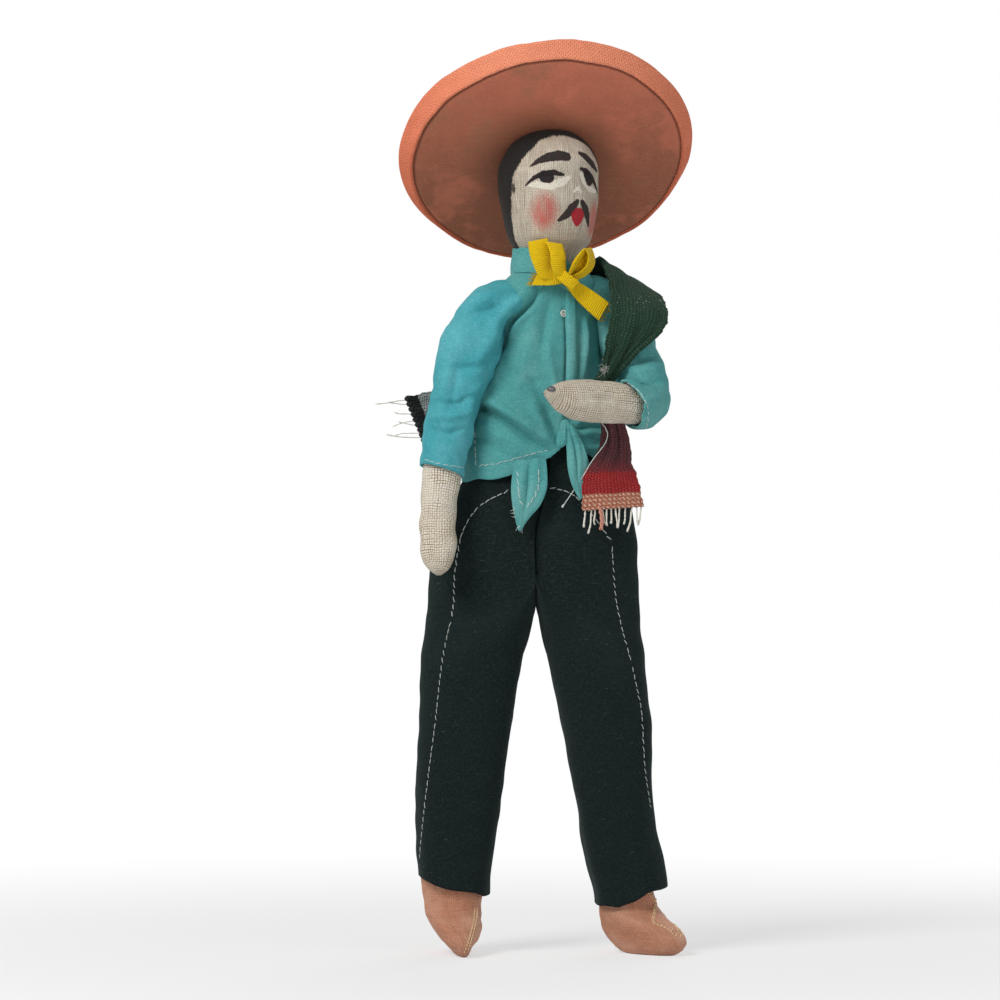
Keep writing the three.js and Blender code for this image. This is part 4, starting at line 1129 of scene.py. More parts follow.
class Caster:
    """Finds places on pieces that are already made, so that what lies on them is laid on them.

    START is the depth that its rays come from, and NEAR the one that stands in where a ray hits nothing.
    """

    START = -120.0
    NEAR = -14.0

    def __init__(self, space: Space, *pieces: bpy.types.Object) -> None:
        """Takes the pieces that may be hit."""
        points: list[Vector] = []
        faces: list[list[int]] = []
        for piece in pieces:
            start = len(points)
            points += [v.co / MM - Vector((space.x, space.y, 0)) for v in piece.data.vertices]
            faces += [[start + k for k in face.vertices] for face in piece.data.polygons]
        self.tree = BVHTree.FromPolygons(points, faces)

    def hit(self, x: float, z: float) -> tuple[Vector, Vector]:
        """The place at x and z that is seen from the front, or else the nearest, and its normal.

        Args:
            x: how far to the side it is.
            z: how high it is.

        Returns:
            The place and the normal there, which faces the front.
        """
        hit, normal, _, _ = self.tree.ray_cast(Vector((x, self.START, z)), Vector((0, 1, 0)))
        if hit is None:
            hit, normal, _, _ = self.tree.find_nearest(Vector((x, self.NEAR, z)))
        return hit, normal if normal.y < 0 else -normal

    def front(self, x: float, z: float, lift: float = 0.0) -> np.ndarray:
        """The same place, lifted off the cloth."""
        hit, normal = self.hit(x, z)
        return np.array(hit + normal * lift)

    def laid(
        self, line: Sequence[Pair], count: int, lift: float = 0.0
    ) -> tuple[np.ndarray, np.ndarray]:
        """Lays a line on the cloth.

        Args:
            line: its x and z.
            count: how many points it gets.
            lift: how far off the cloth they are.

        Returns:
            The points, and the cloth's normals there.
        """
        hits = [self.hit(x, z) for x, _, z in path([(x, 0.0, z) for x, z in line], count)]
        out = np.array([normal for _, normal in hits])
        return np.array([hit for hit, _ in hits]) + out * lift, out


def running_stitch(
    bundle: Bundle, line: np.ndarray, normals: np.ndarray, pitch: float, share: float, radius: float,
    seed: int,
) -> None:
    """Adds a row of stitches to a bundle.

    Args:
        bundle: what the stitches are added to.
        line: points on the cloth.
        normals: the cloth's normals there.
        pitch: length from stitch to stitch.
        share: the share of it that shows.
        radius: the thread's radius.
        seed: for the unevenness of hand work.
    """
    rng = np.random.default_rng(seed)
    length = lengths(line)
    at = rng.uniform(0.1, 0.5) * pitch
    while at < length[-1] - pitch * 0.4:
        size = pitch * share * rng.uniform(0.85, 1.15)
        where = np.linspace(at, min(at + size, length[-1]), 6)
        arch = np.array([-0.5, 0.7, 1.0, 1.0, 0.7, -0.5]) * radius
        slide = rng.normal(0.1, 0.13)
        points = np.stack([np.interp(where, length, line[:, k]) for k in range(3)], 1)
        off = np.stack([np.interp(where, length, normals[:, k]) for k in range(3)], 1)
        across = unit(np.cross(off, np.gradient(points, axis=0)))
        points = points + off * arch[:, None] + across * np.linspace(-slide, slide, 6)[:, None]
        bundle.tube(points, radius * np.array([0.6, 1, 1, 1, 1, 0.6]), 6)
        at += pitch * rng.uniform(0.9, 1.1)


# The doll


@dataclass
class Piece:
    """What every sub-assembly shares: where it is and how its objects are tied to the bodies."""

    space: Space

    def ride(self, made: bpy.types.Object, body: str, *nodes: str) -> bpy.types.Object:
        """Ties a piece to one body, in place of the given nodes.

        Args:
            made: the piece.
            body: the body.
            nodes: what it replaces.

        Returns:
            The piece.
        """
        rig.ride(made, body)
        if nodes:
            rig.replaces(made, *nodes)
        return made

    def rings(self, name: str, points: np.ndarray, finish: str, caps: bool = False) -> bpy.types.Object:
        """Makes a closed form of rings of points."""
        bundle = Bundle().grid(points, grid_uv(points, True), closed=True, caps=caps)
        return bundle.build(name, self.space, FINISHES[finish])

    def strip(self, name: str, points: np.ndarray, finish: str, thickness: float) -> bpy.types.Object:
        """Makes a strip of cloth of rows of points."""
        bundle = Bundle().grid(points, grid_uv(points, False))
        return bundle.build(name, self.space, FINISHES[finish], thickness)

    def spun(self, bundle: Bundle, name: str, finish: str, body: str, *nodes: str) -> bpy.types.Object:
        """Makes a bundle's piece and ties it to one body, in place of the given nodes."""
        return self.ride(bundle.build(name, self.space, FINISHES[finish]), body, *nodes)

    def bend(
        self, made: bpy.types.Object, bodies: tuple[str, str], start: Triple, end: Triple, *nodes: str
    ) -> bpy.types.Object:
        """Lets a piece bend between two bodies, in place of the given nodes.

        Args:
            made: the piece.
            bodies: the bodies.
            start: where it begins to leave the first body.
            end: where it follows the second body alone.
            nodes: what it replaces.

        Returns:
            The piece.
        """
        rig.blend(made, *bodies, start=self.space.at(start), end=self.space.at(end))
        if nodes:
            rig.replaces(made, *nodes)
        return made


def ring(row: np.ndarray, angle: np.ndarray, grow: np.ndarray | float = 0.0) -> np.ndarray:
    """Points of upright forms.

    Args:
        row: entries of height, x, y, half width, half depth and turn in degrees.
        angle: the angles, of the same shape as the entries.
        grow: how far outside the form.

    Returns:
        The points.
    """
    z, x, y, a, b, turn = (row[..., k] for k in range(6))
    lx, ly = (a + grow) * np.cos(angle), (b + grow) * np.sin(angle)
    c, s = np.cos(np.radians(turn)), np.sin(np.radians(turn))
    return np.stack([x + lx * c - ly * s, y + lx * s + ly * c, z], -1)


def hemmed(points: np.ndarray, thickness: float, depth: int) -> np.ndarray:
    """Turns the first rows of a closed grid in, as a hem.

    Args:
        points: rows from the edge upwards.
        thickness: how far in the inner layer lies.
        depth: how many rows it has.

    Returns:
        The rows, the inner layer's first.
    """
    out = outward(points)
    inner = points[1 : depth + 1] - out[1 : depth + 1] * thickness
    edge = points[0] - out[0] * thickness * 0.5 - (points[1] - points[0]) * 0.25
    first = points[0] - out[0] * thickness
    return np.concatenate([inner[::-1], first[None], edge[None], points])


def grid_uv(points: np.ndarray, closed: bool) -> np.ndarray:
    """Lengths along a grid: across measured on its middle row, and up along each column's middle.

    Args:
        points: the grid.
        closed: whether its last column joins the first.

    Returns:
        The lengths, with one more column where it is closed.
    """
    if closed:
        points = np.concatenate([points, points[:, :1]], 1)
    steps = np.linalg.norm(np.diff(points, axis=0), axis=2).mean(1)
    return np.stack(np.meshgrid(lengths(points[len(points) // 2]), np.r_[0, np.cumsum(steps)]), -1)


def photo(*points: Pair) -> Line:
    """Places measured on the upright sheet, as x and z in millimetres."""
    return tuple(((x - SHEET_MIDDLE) / SHEET_SCALE, (SHEET_FLOOR - y) / SHEET_SCALE) for x, y in points)


SHIRT_ROWS = (
    (139.5, 3.2, 0.0, 24.3, 14.2, 3.6),
    (147.0, 3.0, 0.0, 23.4, 14.1, 6.0),
    (158.0, 2.6, 0.0, 19.9, 13.4, 9.0),
    (174.0, 4.2, 0.0, 15.6, 12.4, 14.4),
    (188.0, 4.4, 0.0, 15.2, 10.8, 18.0),
    (194.5, 4.4, 0.0, 13.75, 10.55, 18.0),
    (198.0, 4.4, 0.0, 11.2, 10.6, 18.0),
)
ARMHOLE_FOLDS = (
    Fold(((1, 193.6), (-0.9, 189.6), (-4.2, 186.2), (-7.4, 183), (-9.2, 179), (-10.2, 174.5)),
         0.8, -2.9, 0.2),
    Fold(((-1.6, 194.6), (-4, 190.6), (-8.2, 187.2), (-11.4, 183.6), (-12.6, 178.6)), 1.9, 2.5, 0.2),
)
SHIRT_FOLDS = (
    *ARMHOLE_FOLDS,
    Fold(((-1, 186.4), (-4.4, 183.6), (-7.4, 179.4)), 1.3, 1.5, -0.2),
    Fold(((-19, 160.6), (-12, 156.6), (-6, 152.6), (-0.7, 148.8), (4.6, 145.2)), 0.9, -2.2),
    Fold(((-19, 163.2), (-12, 159.4), (-6, 155.4), (-0.7, 151.6), (5.6, 147)), 2.1, 3.4, 0.5),
    Fold(((-18.5, 155), (-9.9, 150.4), (-0.7, 145.6)), 1.6, 0.9),
    Fold(((6.6, 148.4), (5.6, 153), (3, 159), (-1, 166)), 0.9, -1.9, 0.3),
    Fold(((3.4, 150), (2, 154.6), (-1.6, 160.6)), 1.1, 1.2),
    Fold(((8.4, 152.6), (7, 160), (5, 168), (3.6, 176)), 1.3, 1.3),
    Fold(((10.8, 153), (15, 157), (19, 162)), 1.3, 2, -0.3),
    Fold(((10.4, 151.8), (16, 153.2), (24, 152.6)), 0.6, -0.9),
    Fold(((9.8, 150.6), (16, 151), (24, 149.6)), 1, 1.5, 0.3),
    Fold(((9.6, 148), (15, 146.8), (21, 146)), 1, 1.6),
    Fold(((8.3, 187.2), (8.9, 182), (9.3, 175), (8.9, 166), (8.4, 158)), 0.55, -1.7),
    Fold(((13.2, 184), (13, 176), (12.2, 168), (11.2, 158)), 0.7, -1.3),
    Fold(((14.6, 184), (14.6, 176), (14, 167)), 0.8, 1.2),
    Fold(((0.4, 188), (-1.2, 179), (-3.8, 170), (-5, 164)), 2, 1.2),
    Fold(((4.6, 190), (3, 182), (1.6, 172)), 1.3, -0.9),
    Fold(((-8.6, 176), (-9.6, 170), (-13, 163.6)), 1.5, 1.4),
    Fold(((-8, 170), (-4, 167), (1, 165.4)), 1.2, -0.7),
    Fold(((-19, 151), (-13, 148), (-7, 143)), 1.1, -0.8),
    Fold(((-14, 152), (-8, 160), (-2, 172)), 2.2, 1.2, 0, True),
    Fold(((20, 146), (12, 158), (9, 176)), 2.4, 1.2, 0.3, True),
    Fold(((2, 143), (4, 156), (5, 170)), 1.7, -1.1, 0, True),
    Fold(((-8, 190), (2, 181), (14, 177)), 2, 0.8, 0, True),
)


@dataclass
class Shirt(Piece):
    """The shirt's body with its collar, placket, button, knot and tails."""

    hem: Line = (
        (-21, 137.4), (-14, 137.9), (-7.2, 138.8), (-2, 141), (2.7, 143.8), (5.8, 145.8), (8.7, 150),
        (12, 147.2), (15, 145), (20, 143), (28, 139.5),
    )
    hem_behind: float = 138.0
    hem_rows: int = 12
    top: float = 198.0
    thickness: float = 0.9
    cols: int = 200
    rows: int = 150
    folds: tuple[Fold, ...] = SHIRT_FOLDS
    surface: Caster | None = None

    def body(self) -> bpy.types.Object:
        """The shirt from the hem to the collar's seam, with its folds."""
        angle = turns(self.cols)
        low = ring(between(SHIRT_ROWS, np.full(self.cols, SHIRT_ROWS[0][0])), angle)
        hem = np.interp(low[:, 0], *zip(*self.hem))
        hem = np.where(np.sin(angle) < -0.02, hem, self.hem_behind) + 0.35 * np.sin(angle * 9)
        share = np.linspace(0, 1, self.rows)[:, None]
        z = hem + (self.top - hem) * share
        row = between(SHIRT_ROWS, z.ravel()).reshape(*z.shape, 6)
        row[..., 0] = z
        points = ring(row, np.broadcast_to(angle, z.shape))
        out = normals_of(points)
        lift = sum(fold.lift(points, out) for fold in self.folds)
        lift = lift + Ripple(3, 15.0, 0.4)(points) + Ripple(4, 6.5, 0.16)(points)
        hang = np.sin(angle * 7 + 1.0) * 0.6 + np.sin(angle * 4) * 0.4
        lift = lift + hang * (1 - step(z, 139, 156)) * (np.sin(angle) > 0.0)
        lift = lift * step(z, 198.5, 195.5)
        points = points + out * lift[..., None]
        made = self.rings("shirt_body", hemmed(points, self.thickness, self.hem_rows), "shirt")
        self.ride(made, "torso", "torso_body", "shirt_front_right", "shirt_front_left", "shirt_back")
        self.surface = Caster(self.space, made)
        return made

    def collar(self) -> bpy.types.Object:
        """The stand collar, whose seam dips in front."""
        angle = turns(140)
        off = (angle - (FRONT + math.radians(24)) + math.pi) % ROUND - math.pi
        low = 197.8 - 7.4 * np.exp(-((off / 0.62) ** 2))
        share = np.linspace(0, 1, 16)[:, None]
        high = 204.9 - 5.6 * np.exp(-((off / 0.42) ** 2)) + 0.15 * np.sin(angle * 11)
        z = low + (high - low) * share
        row = between(SHIRT_ROWS, np.minimum(z, self.top).ravel()).reshape(*z.shape, 6)
        row[..., 0] = z
        grow = 0.6 - 0.75 * step(z, self.top, 205) - 0.25 * (1 - share) ** 4
        points = ring(row, np.broadcast_to(angle, z.shape), grow)
        points = points + normals_of(points) * Ripple(6, 7.0, 0.16)(points)[..., None]
        inner = points[::-1] + (np.array([NECK_X, 0, 0]) - points[::-1]) * [0.085, 0.085, 0]
        made = self.rings("collar_band", np.concatenate([points, inner]), "shirt")
        return self.ride(made, "torso", "collar")

    def placket(self) -> bpy.types.Object:
        """The strip of double cloth down the front."""
        z = np.linspace(160.5, 192.5, 40)
        rows = []
        for height in z:
            middle = 10.4 - (height - 160) * 0.006
            half = 1.55 * (0.6 + 0.4 * min(1, (height - 160) / 4))
            rows.append([
                self.surface.front(middle + half * u, height, 0.55 - 0.75 * abs(u) ** 6)
                for u in np.linspace(-1, 1, 11)
            ])
        return self.ride(self.strip("placket_strip", np.array(rows), "shirt", 0.4), "torso", "placket")

    def button(self) -> bpy.types.Object:
        """A ring of thread, sewn on with two stitches."""
        centre = self.surface.front(8.5, 185.8, 0.7)
        turn = np.linspace(0, ROUND, 25)
        line = centre + np.stack([np.cos(turn) * 0.8, np.cos(turn) * 0.25, np.sin(turn) * 0.84], 1)
        bundle = Bundle().tube(line, 0.16, 8)
        for height in (0.15, -0.2):
            cross = np.linspace([-0.9, -0.1, height], [0.9, 0.2, height - 0.1], 5) + centre
            bundle.tube(cross, 0.12, 5)
        return self.spun(bundle, "button_ring", "cream", "torso", "thread_button")

    def knot(self) -> bpy.types.Object:
        """The knot in the shirt's tails: a gathered lap of cloth over the crossing."""
        x, z = 8.3, 150.9
        y = self.surface.front(x, z + 2.5)[1] - 0.2
        t, a = np.meshgrid(np.linspace(-1, 1, 41), turns(44), indexing="ij")
        gathers = 1 + 0.13 * np.sin(3 * a + 5 * t) + 0.08 * np.sin(8 * a + 2 * t)
        size = np.clip(1 - t**2, 0, 1) ** 0.42 * gathers
        points = np.stack([
            x + 0.9 * t - 0.5 * t * t + size * 1.75 * np.cos(a), y - 1.0 + size * 1.5 * np.sin(a), z + 4.2 * t
        ], -1)
        return self.ride(self.rings("tails_knot", points, "shirt", caps=True), "torso", "shirt_knot")

    def tail(self, name: str, outline: Sequence[Triple], node: str, off: float) -> bpy.types.Object:
        """A leaf of cloth that hangs from the knot.

        Args:
            name: the piece's name.
            outline: rows of centre x, z and half width.
            node: the node that it replaces.
            off: how far off the cloth behind it lies.

        Returns:
            The piece.
        """
        line = path([(x, 0.0, z, half) for x, z, half in outline], 44)
        rows = []
        for i, (x, _, z, half) in enumerate(line):
            share = i / (len(line) - 1)
            over = float(np.interp(x, *zip(*self.hem))) + 1.6
            base = self.surface.front(x, max(z, over))[1] - off - 0.7 * math.sin(share * math.pi)
            u = np.linspace(-1, 1, 25)
            crease = np.exp(-(((u + 0.12 - 0.1 * share) / 0.16) ** 2))
            crease = crease * math.sin(math.pi * min(1, share * 1.15))
            fold = np.exp(-(((u - 0.3) / 0.28) ** 2)) + 0.7 * np.exp(-(((u + 0.55) / 0.25) ** 2))
            y = base - 0.5 * (1 - u * u) + 1.1 * crease - 0.55 * fold * (1 - share)
            y = y + 0.12 * np.sin(9 * u + 7 * share)
            rows.append(np.stack([x + half * u, y, z + 0.35 * np.sin(3 * u)], -1))
        return self.ride(self.strip(name, np.array(rows), "shirt", 0.8), "torso", node)

    def tail_threads(self, tail: bpy.types.Object) -> bpy.types.Object:
        """Stitches along both edges of a tail, and frays at its side and its tip.

        Args:
            tail: the piece they are sewn to.

        Returns:
            The piece.
        """
        bundle = Bundle()
        caster = Caster(self.space, tail)
        lines = photo((517, 470), (519, 495), (523, 508)), photo((538, 468), (537, 490), (526, 508))
        for seed, line in enumerate(lines):
            running_stitch(bundle, *caster.laid(line, 40), 2.0, 0.84, 0.12, seed + 60)
        rng = np.random.default_rng(5)
        for x, z in photo((514, 514), (515, 518), (519, 527), (521, 530), (514, 510)) * 3:
            at = caster.front(x + 0.4, z + 0.4, 0.2)
            way = np.array([x + 0.5, 0.0, z - 128.0]) * 0.1 + rng.normal(0, 0.5, 3)
            bundle.tube(path([at, at + way * 0.6, at + way + rng.normal(0, 0.2, 3)], 5), 0.06, 4)
        return self.spun(bundle, "tail_stitches", "white", "torso")

    def stitches(self) -> bpy.types.Object:
        """White hand stitches along the side and the hem, and small ones by the collar."""
        bundle = Bundle()
        lines = (
            ((-17.5, 151.6), (-17.3, 146), (-17.2, 141.2)),
            ((-17.2, 141.6), (-11, 142.4), (-5.8, 143.8), (-1, 145), (3.5, 146.2)),
            ((11.1, 187.3), (11.2, 185.2)),
        )
        for seed, line in enumerate(lines):
            running_stitch(bundle, *self.surface.laid(line, 60), 2.1, 0.86, 0.105, seed + 3)
        return self.spun(bundle, "shirt_stitches", "white", "torso")

    def build(self) -> tuple[bpy.types.Object, bpy.types.Object]:
        """Makes all of it, and gives back the body and the collar."""
        body, collar = self.body(), self.collar()
        self.placket()
        self.button()
        self.knot()
        right = self.tail("tail_right", (
            (-1.2, 143.6, 4.2), (-1.6, 139.4, 5), (-1.9, 135, 5.1), (-2.6, 130.4, 3.9), (-3.6, 127, 2.1),
            (-4.3, 123.2, 0.3)), "shirt_tail_right", 0.9)
        self.tail_threads(right)
        self.tail("tail_left", (
            (9.6, 153.4, 1.3), (10.6, 150.4, 2), (11.6, 146.6, 2.6), (12.3, 141.6, 2.9), (12.4, 136.6, 1.7),
            (13.3, 132.2, 0.3)), "shirt_tail_left", 1.4)
        self.stitches()
        return body, collar


@dataclass
class Sleeve(Piece):
    """One sleeve, swept along the arm, in an upper and a lower part that share their edge."""

    side: str = "right"
    line: Rows = ()
    split: float = 0.5
    shoulder: tuple[Triple, Triple] = ((0, 0, 0), (0, 0, 1))
    elbow: tuple[Triple, Triple] = ((0, 0, 0), (0, 0, 1))
    folds: tuple[Fold, ...] = ()
    slant: float = 0.0
    stitched: Line = ()
    rows: int = 130
    cols: int = 96
    hem_rows: int = 14
    finish: str = "shirt"

    def shape(self) -> np.ndarray:
        """Rings from the cuff to the shoulder's cap."""
        line = path(self.line[::-1], self.rows)
        along = unit(np.gradient(line[:, :3], axis=0))
        out = circles(line[:, :3], np.array([0.0, -1.0, 0.0]), self.cols)
        points = line[:, None, :3] + out * line[:, 3][:, None, None]
        fade = (1 - np.linspace(0, 1, self.rows) / 0.12).clip(0, 1)[:, None]
        points += along[:, None] * (np.cos(turns(self.cols)) * self.slant * fade)[..., None]
        lift = sum(fold.lift(points, out) for fold in self.folds)
        lift = lift + Ripple(11, 11.0, 0.34)(points) + Ripple(12, 5.0, 0.14)(points)
        return hemmed(points + out * lift[..., None], 0.9, self.hem_rows)

    def build(self) -> None:
        """Makes both parts."""
        points = self.shape()
        uv = grid_uv(points, True)
        out = normals_of(points)
        cut = self.hem_rows + 1 + int(self.split * self.rows)
        side = self.side
        low, high = (
            Bundle().grid(points[part], uv[part], closed=True).build(
                f"{side}_sleeve_{name}", self.space, FINISHES[self.finish], normals=out[part]
            )
            for name, part in (("low", slice(cut + 1)), ("high", slice(cut, None)))
        )
        caster = Caster(self.space, low)
        self.bend(low, (f"{side}_upper_arm", f"{side}_forearm"), *self.elbow, f"{side}_sleeve_lower")
        self.bend(high, ("torso", f"{side}_upper_arm"), *self.shoulder,
                  f"{side}_sleeve_upper", f"{side}_upper_arm")
        bundle = Bundle()
        running_stitch(bundle, *caster.laid(self.stitched, 60), 2.1, 0.84, 0.105, 5)
        if side == "left":
            start = caster.front(*photo((614, 384))[0], 0.1)
            loop = [start, start + [0.6, -0.8, 1.5], start + [1.7, -1.0, 1.9], start + [2.5, -0.6, 1.3],
                    start + [1.9, -0.3, 0.5]]
            bundle.tube(path(loop, 16), 0.1, 6)
        self.spun(bundle, f"{side}_cuff_stitches", "white", f"{side}_forearm")


@dataclass
class Hand(Piece):
    """A stuffed linen forearm that ends in a plain mitten hand."""

    side: str = "right"
    line: Rows = ()
    wide: Triple = (1.0, 0.0, 0.0)

    def build(self) -> bpy.types.Object:
        """Makes the forearm."""
        line = path(self.line, 110)
        along = unit(np.gradient(line[:, :3], axis=0))
        across = unit(np.array(self.wide) - along * (along @ np.array(self.wide))[:, None])
        thick = np.cross(along, across)
        angle = turns(64)
        circle = (
            across[:, None] * np.cos(angle)[None, :, None] * line[:, 3][:, None, None]
            + thick[:, None] * np.sin(angle)[None, :, None] * line[:, 4][:, None, None]
        )
        groove = 1 - 0.07 * np.exp(-(((angle - math.pi * 1.5 - 0.1) / 0.12) ** 2))
        points = line[:, None, :3] + circle * groove[None, :, None]
        points = points + unit(circle) * Ripple(21, 8.0, 0.2)(points)[..., None]
        made = self.rings(f"{self.side}_hand", points, "linen", caps=True)
        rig.padded(made, 0.7)
        self.ride(made, f"{self.side}_forearm", f"{self.side}_forearm")
        return made


@dataclass
class Head(Piece):
    """The painted linen head on its neck."""

    x: float = NECK_X
    dome: float = 4.5
    cols: int = 144
    profile: Line = (
        (195.5, 7.4), (201, 8), (204, 9.8), (207, 11.7), (210, 12.7), (214, 13.5), (219, 14),
        (224, 14.2), (230, 13.8), (235.4, 11.4), (238.6, 7.6), (240, 3.6), (240.5, 0.4),
    )

    def build(self) -> bpy.types.Object:
        """Makes the head, with its weave unrolled from the seam at its back."""
        low, high, dome = self.profile[0][0], self.profile[-1][0], self.dome
        rounded = high - dome * (1 - np.sin(np.linspace(0.03, math.pi / 2, 24)))
        keys = np.r_[np.linspace(low, high - dome, 90), rounded]
        rows = between(self.profile, keys)
        angle = turns(self.cols)
        radius = rows[:, 1][:, None] * np.ones_like(angle)
        points = np.stack([
            self.x + radius * np.sin(angle), -radius * np.cos(angle),
            np.broadcast_to(rows[:, 0][:, None], radius.shape),
        ], -1)
        out = unit(points - np.array([self.x, 0, 0]) - [0, 0, 1] * points[..., 2:3])
        bumps = Ripple(31, 9.0, 0.16)(points)
        hair = np.exp(-(((points[..., 2] - 225.5) / 8.5) ** 2)) * np.clip(-np.sin(angle + 0.35), 0, 1) ** 2
        points[..., 0] -= 1.3 * hair
        points = points + out * bumps[..., None] * step(points[..., 2:3], 204, 210)
        half = self.cols // 2
        order = np.r_[half + 1 : self.cols, 0 : half + 1]
        turned = np.r_[angle[half + 1 :] - ROUND, angle[: half + 1]] * HEAD_RADIUS
        opened = np.concatenate([points[:, [half]], points[:, order]], 1)
        uv = np.stack(np.meshgrid(np.r_[-HEAD_RADIUS * math.pi, turned], rows[:, 0]), -1)
        made = Bundle().grid(opened, uv).build("painted_head", self.space, FINISHES["head"], weld=0.02)
        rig.padded(made, 0.9)
        return self.ride(made, "head", "head")


@dataclass
class Hat(Piece):
    """The wide hat, worn far back: lining, brim, turned-up rim and conical crown."""

    centre: Triple = (3.7, 4.0, 231.0)
    turn: float = 9.0
    tilt: float = 42.0
    crease: float = 39.4
    cols: int = 240

    def placed(self, points: np.ndarray) -> np.ndarray:
        """Points of the hat's own frame, whose Z is the crown's axis, in the doll's frame.

        Args:
            points: the points.

        Returns:
            The same points in the doll's frame.
        """
        t, r = math.radians(-self.tilt), math.radians(self.turn)
        x, y, z = points[..., 0], points[..., 1], points[..., 2]
        y, z = y * math.cos(t) - z * math.sin(t), y * math.sin(t) + z * math.cos(t)
        x, y = x * math.cos(r) - y * math.sin(r), x * math.sin(r) + y * math.cos(r)
        return np.stack([x, y, z], -1) + np.array(self.centre)

    def lathe(
        self, name: str, profile: Line, count: int, finish: str,
        waver: float, *nodes: str, flat: bool = False,
    ) -> None:
        """One turned form.

        Args:
            name: the piece's name.
            profile: radius and height.
            count: how many rows.
            finish: its finish.
            waver: how far its edge strays.
            nodes: what it replaces.
            flat: whether the weave runs straight over it rather than round it.
        """
        line = path([(r, 0.0, h) for r, h in profile], count)
        angle = turns(self.cols)
        radius = line[:, 0][:, None] * np.ones_like(angle)
        height = line[:, 2][:, None] * np.ones_like(angle)
        points = np.stack([radius * np.cos(angle), radius * np.sin(angle), height], -1)
        grown = step(radius, 12, 40)
        wave = 0.5 * np.sin(3 * angle + 0.6) + 0.35 * np.sin(5 * angle + 2) + 0.25 * np.sin(9 * angle)
        points[..., 2] += waver * wave * grown
        swell = Ripple(41, 13.0, 0.22)(points) + Ripple(42, 5.0, 0.08)(points)
        points[..., 2] += swell * grown
        points[..., :2] *= (1 + 0.004 * waver * np.sin(4 * angle + 1) * grown)[..., None]
        if flat:
            uv = np.concatenate([points, points[:, :1]], 1)[..., :2].copy()
        else:
            length = np.r_[0, np.cumsum(np.hypot(*np.diff(line[:, [0, 2]], axis=0).T))]
            uv = np.stack(np.meshgrid(np.linspace(0, ROUND, self.cols + 1) * line[:, 0].max(), length), -1)
        self.spun(Bundle().grid(self.placed(points), uv, closed=True), name, finish, "head", *nodes)

    def build(self) -> None:
        """Makes the hat."""
        r = self.crease
        self.lathe("hat_under", (
            (9.0, 0.0), (20.0, 0.0), (32.0, 0.0), (r - 0.8, 0.0), (r + 0.1, 0.7), (r, 1.4)),
            60, "lining", 0.55, "hat_lining", flat=True)
        self.lathe("hat_upturn", (
            (r - 0.7, 1.6), (r + 0.1, 0.3), (r + 0.8, -0.1), (r + 1.4, 0.5), (r + 2.4, 2.3), (r + 3.7, 4.3),
            (r + 3.8, 5.0), (r + 3.2, 5.2), (r + 2.6, 4.7), (r + 1.4, 3.1), (r - 0.2, 2.7)),
            46, "rim", 0.4, "hat_rim")
        self.lathe("hat_over", ((r + 0.4, 2.7), (r - 4, 2.5), (28.0, 2.4), (18.0, 2.5), (16.4, 2.9)),
                   40, "coral", 0.55, "hat_brim", flat=True)
        self.lathe("hat_cone", (
            (16.8, 2.6), (15.6, 4), (14.9, 10), (13.4, 18), (11.2, 24), (9.2, 28.6), (7.4, 31.4),
            (4.4, 32.6), (0.3, 32.9)), 60, "coral", 0.0, "hat_crown")


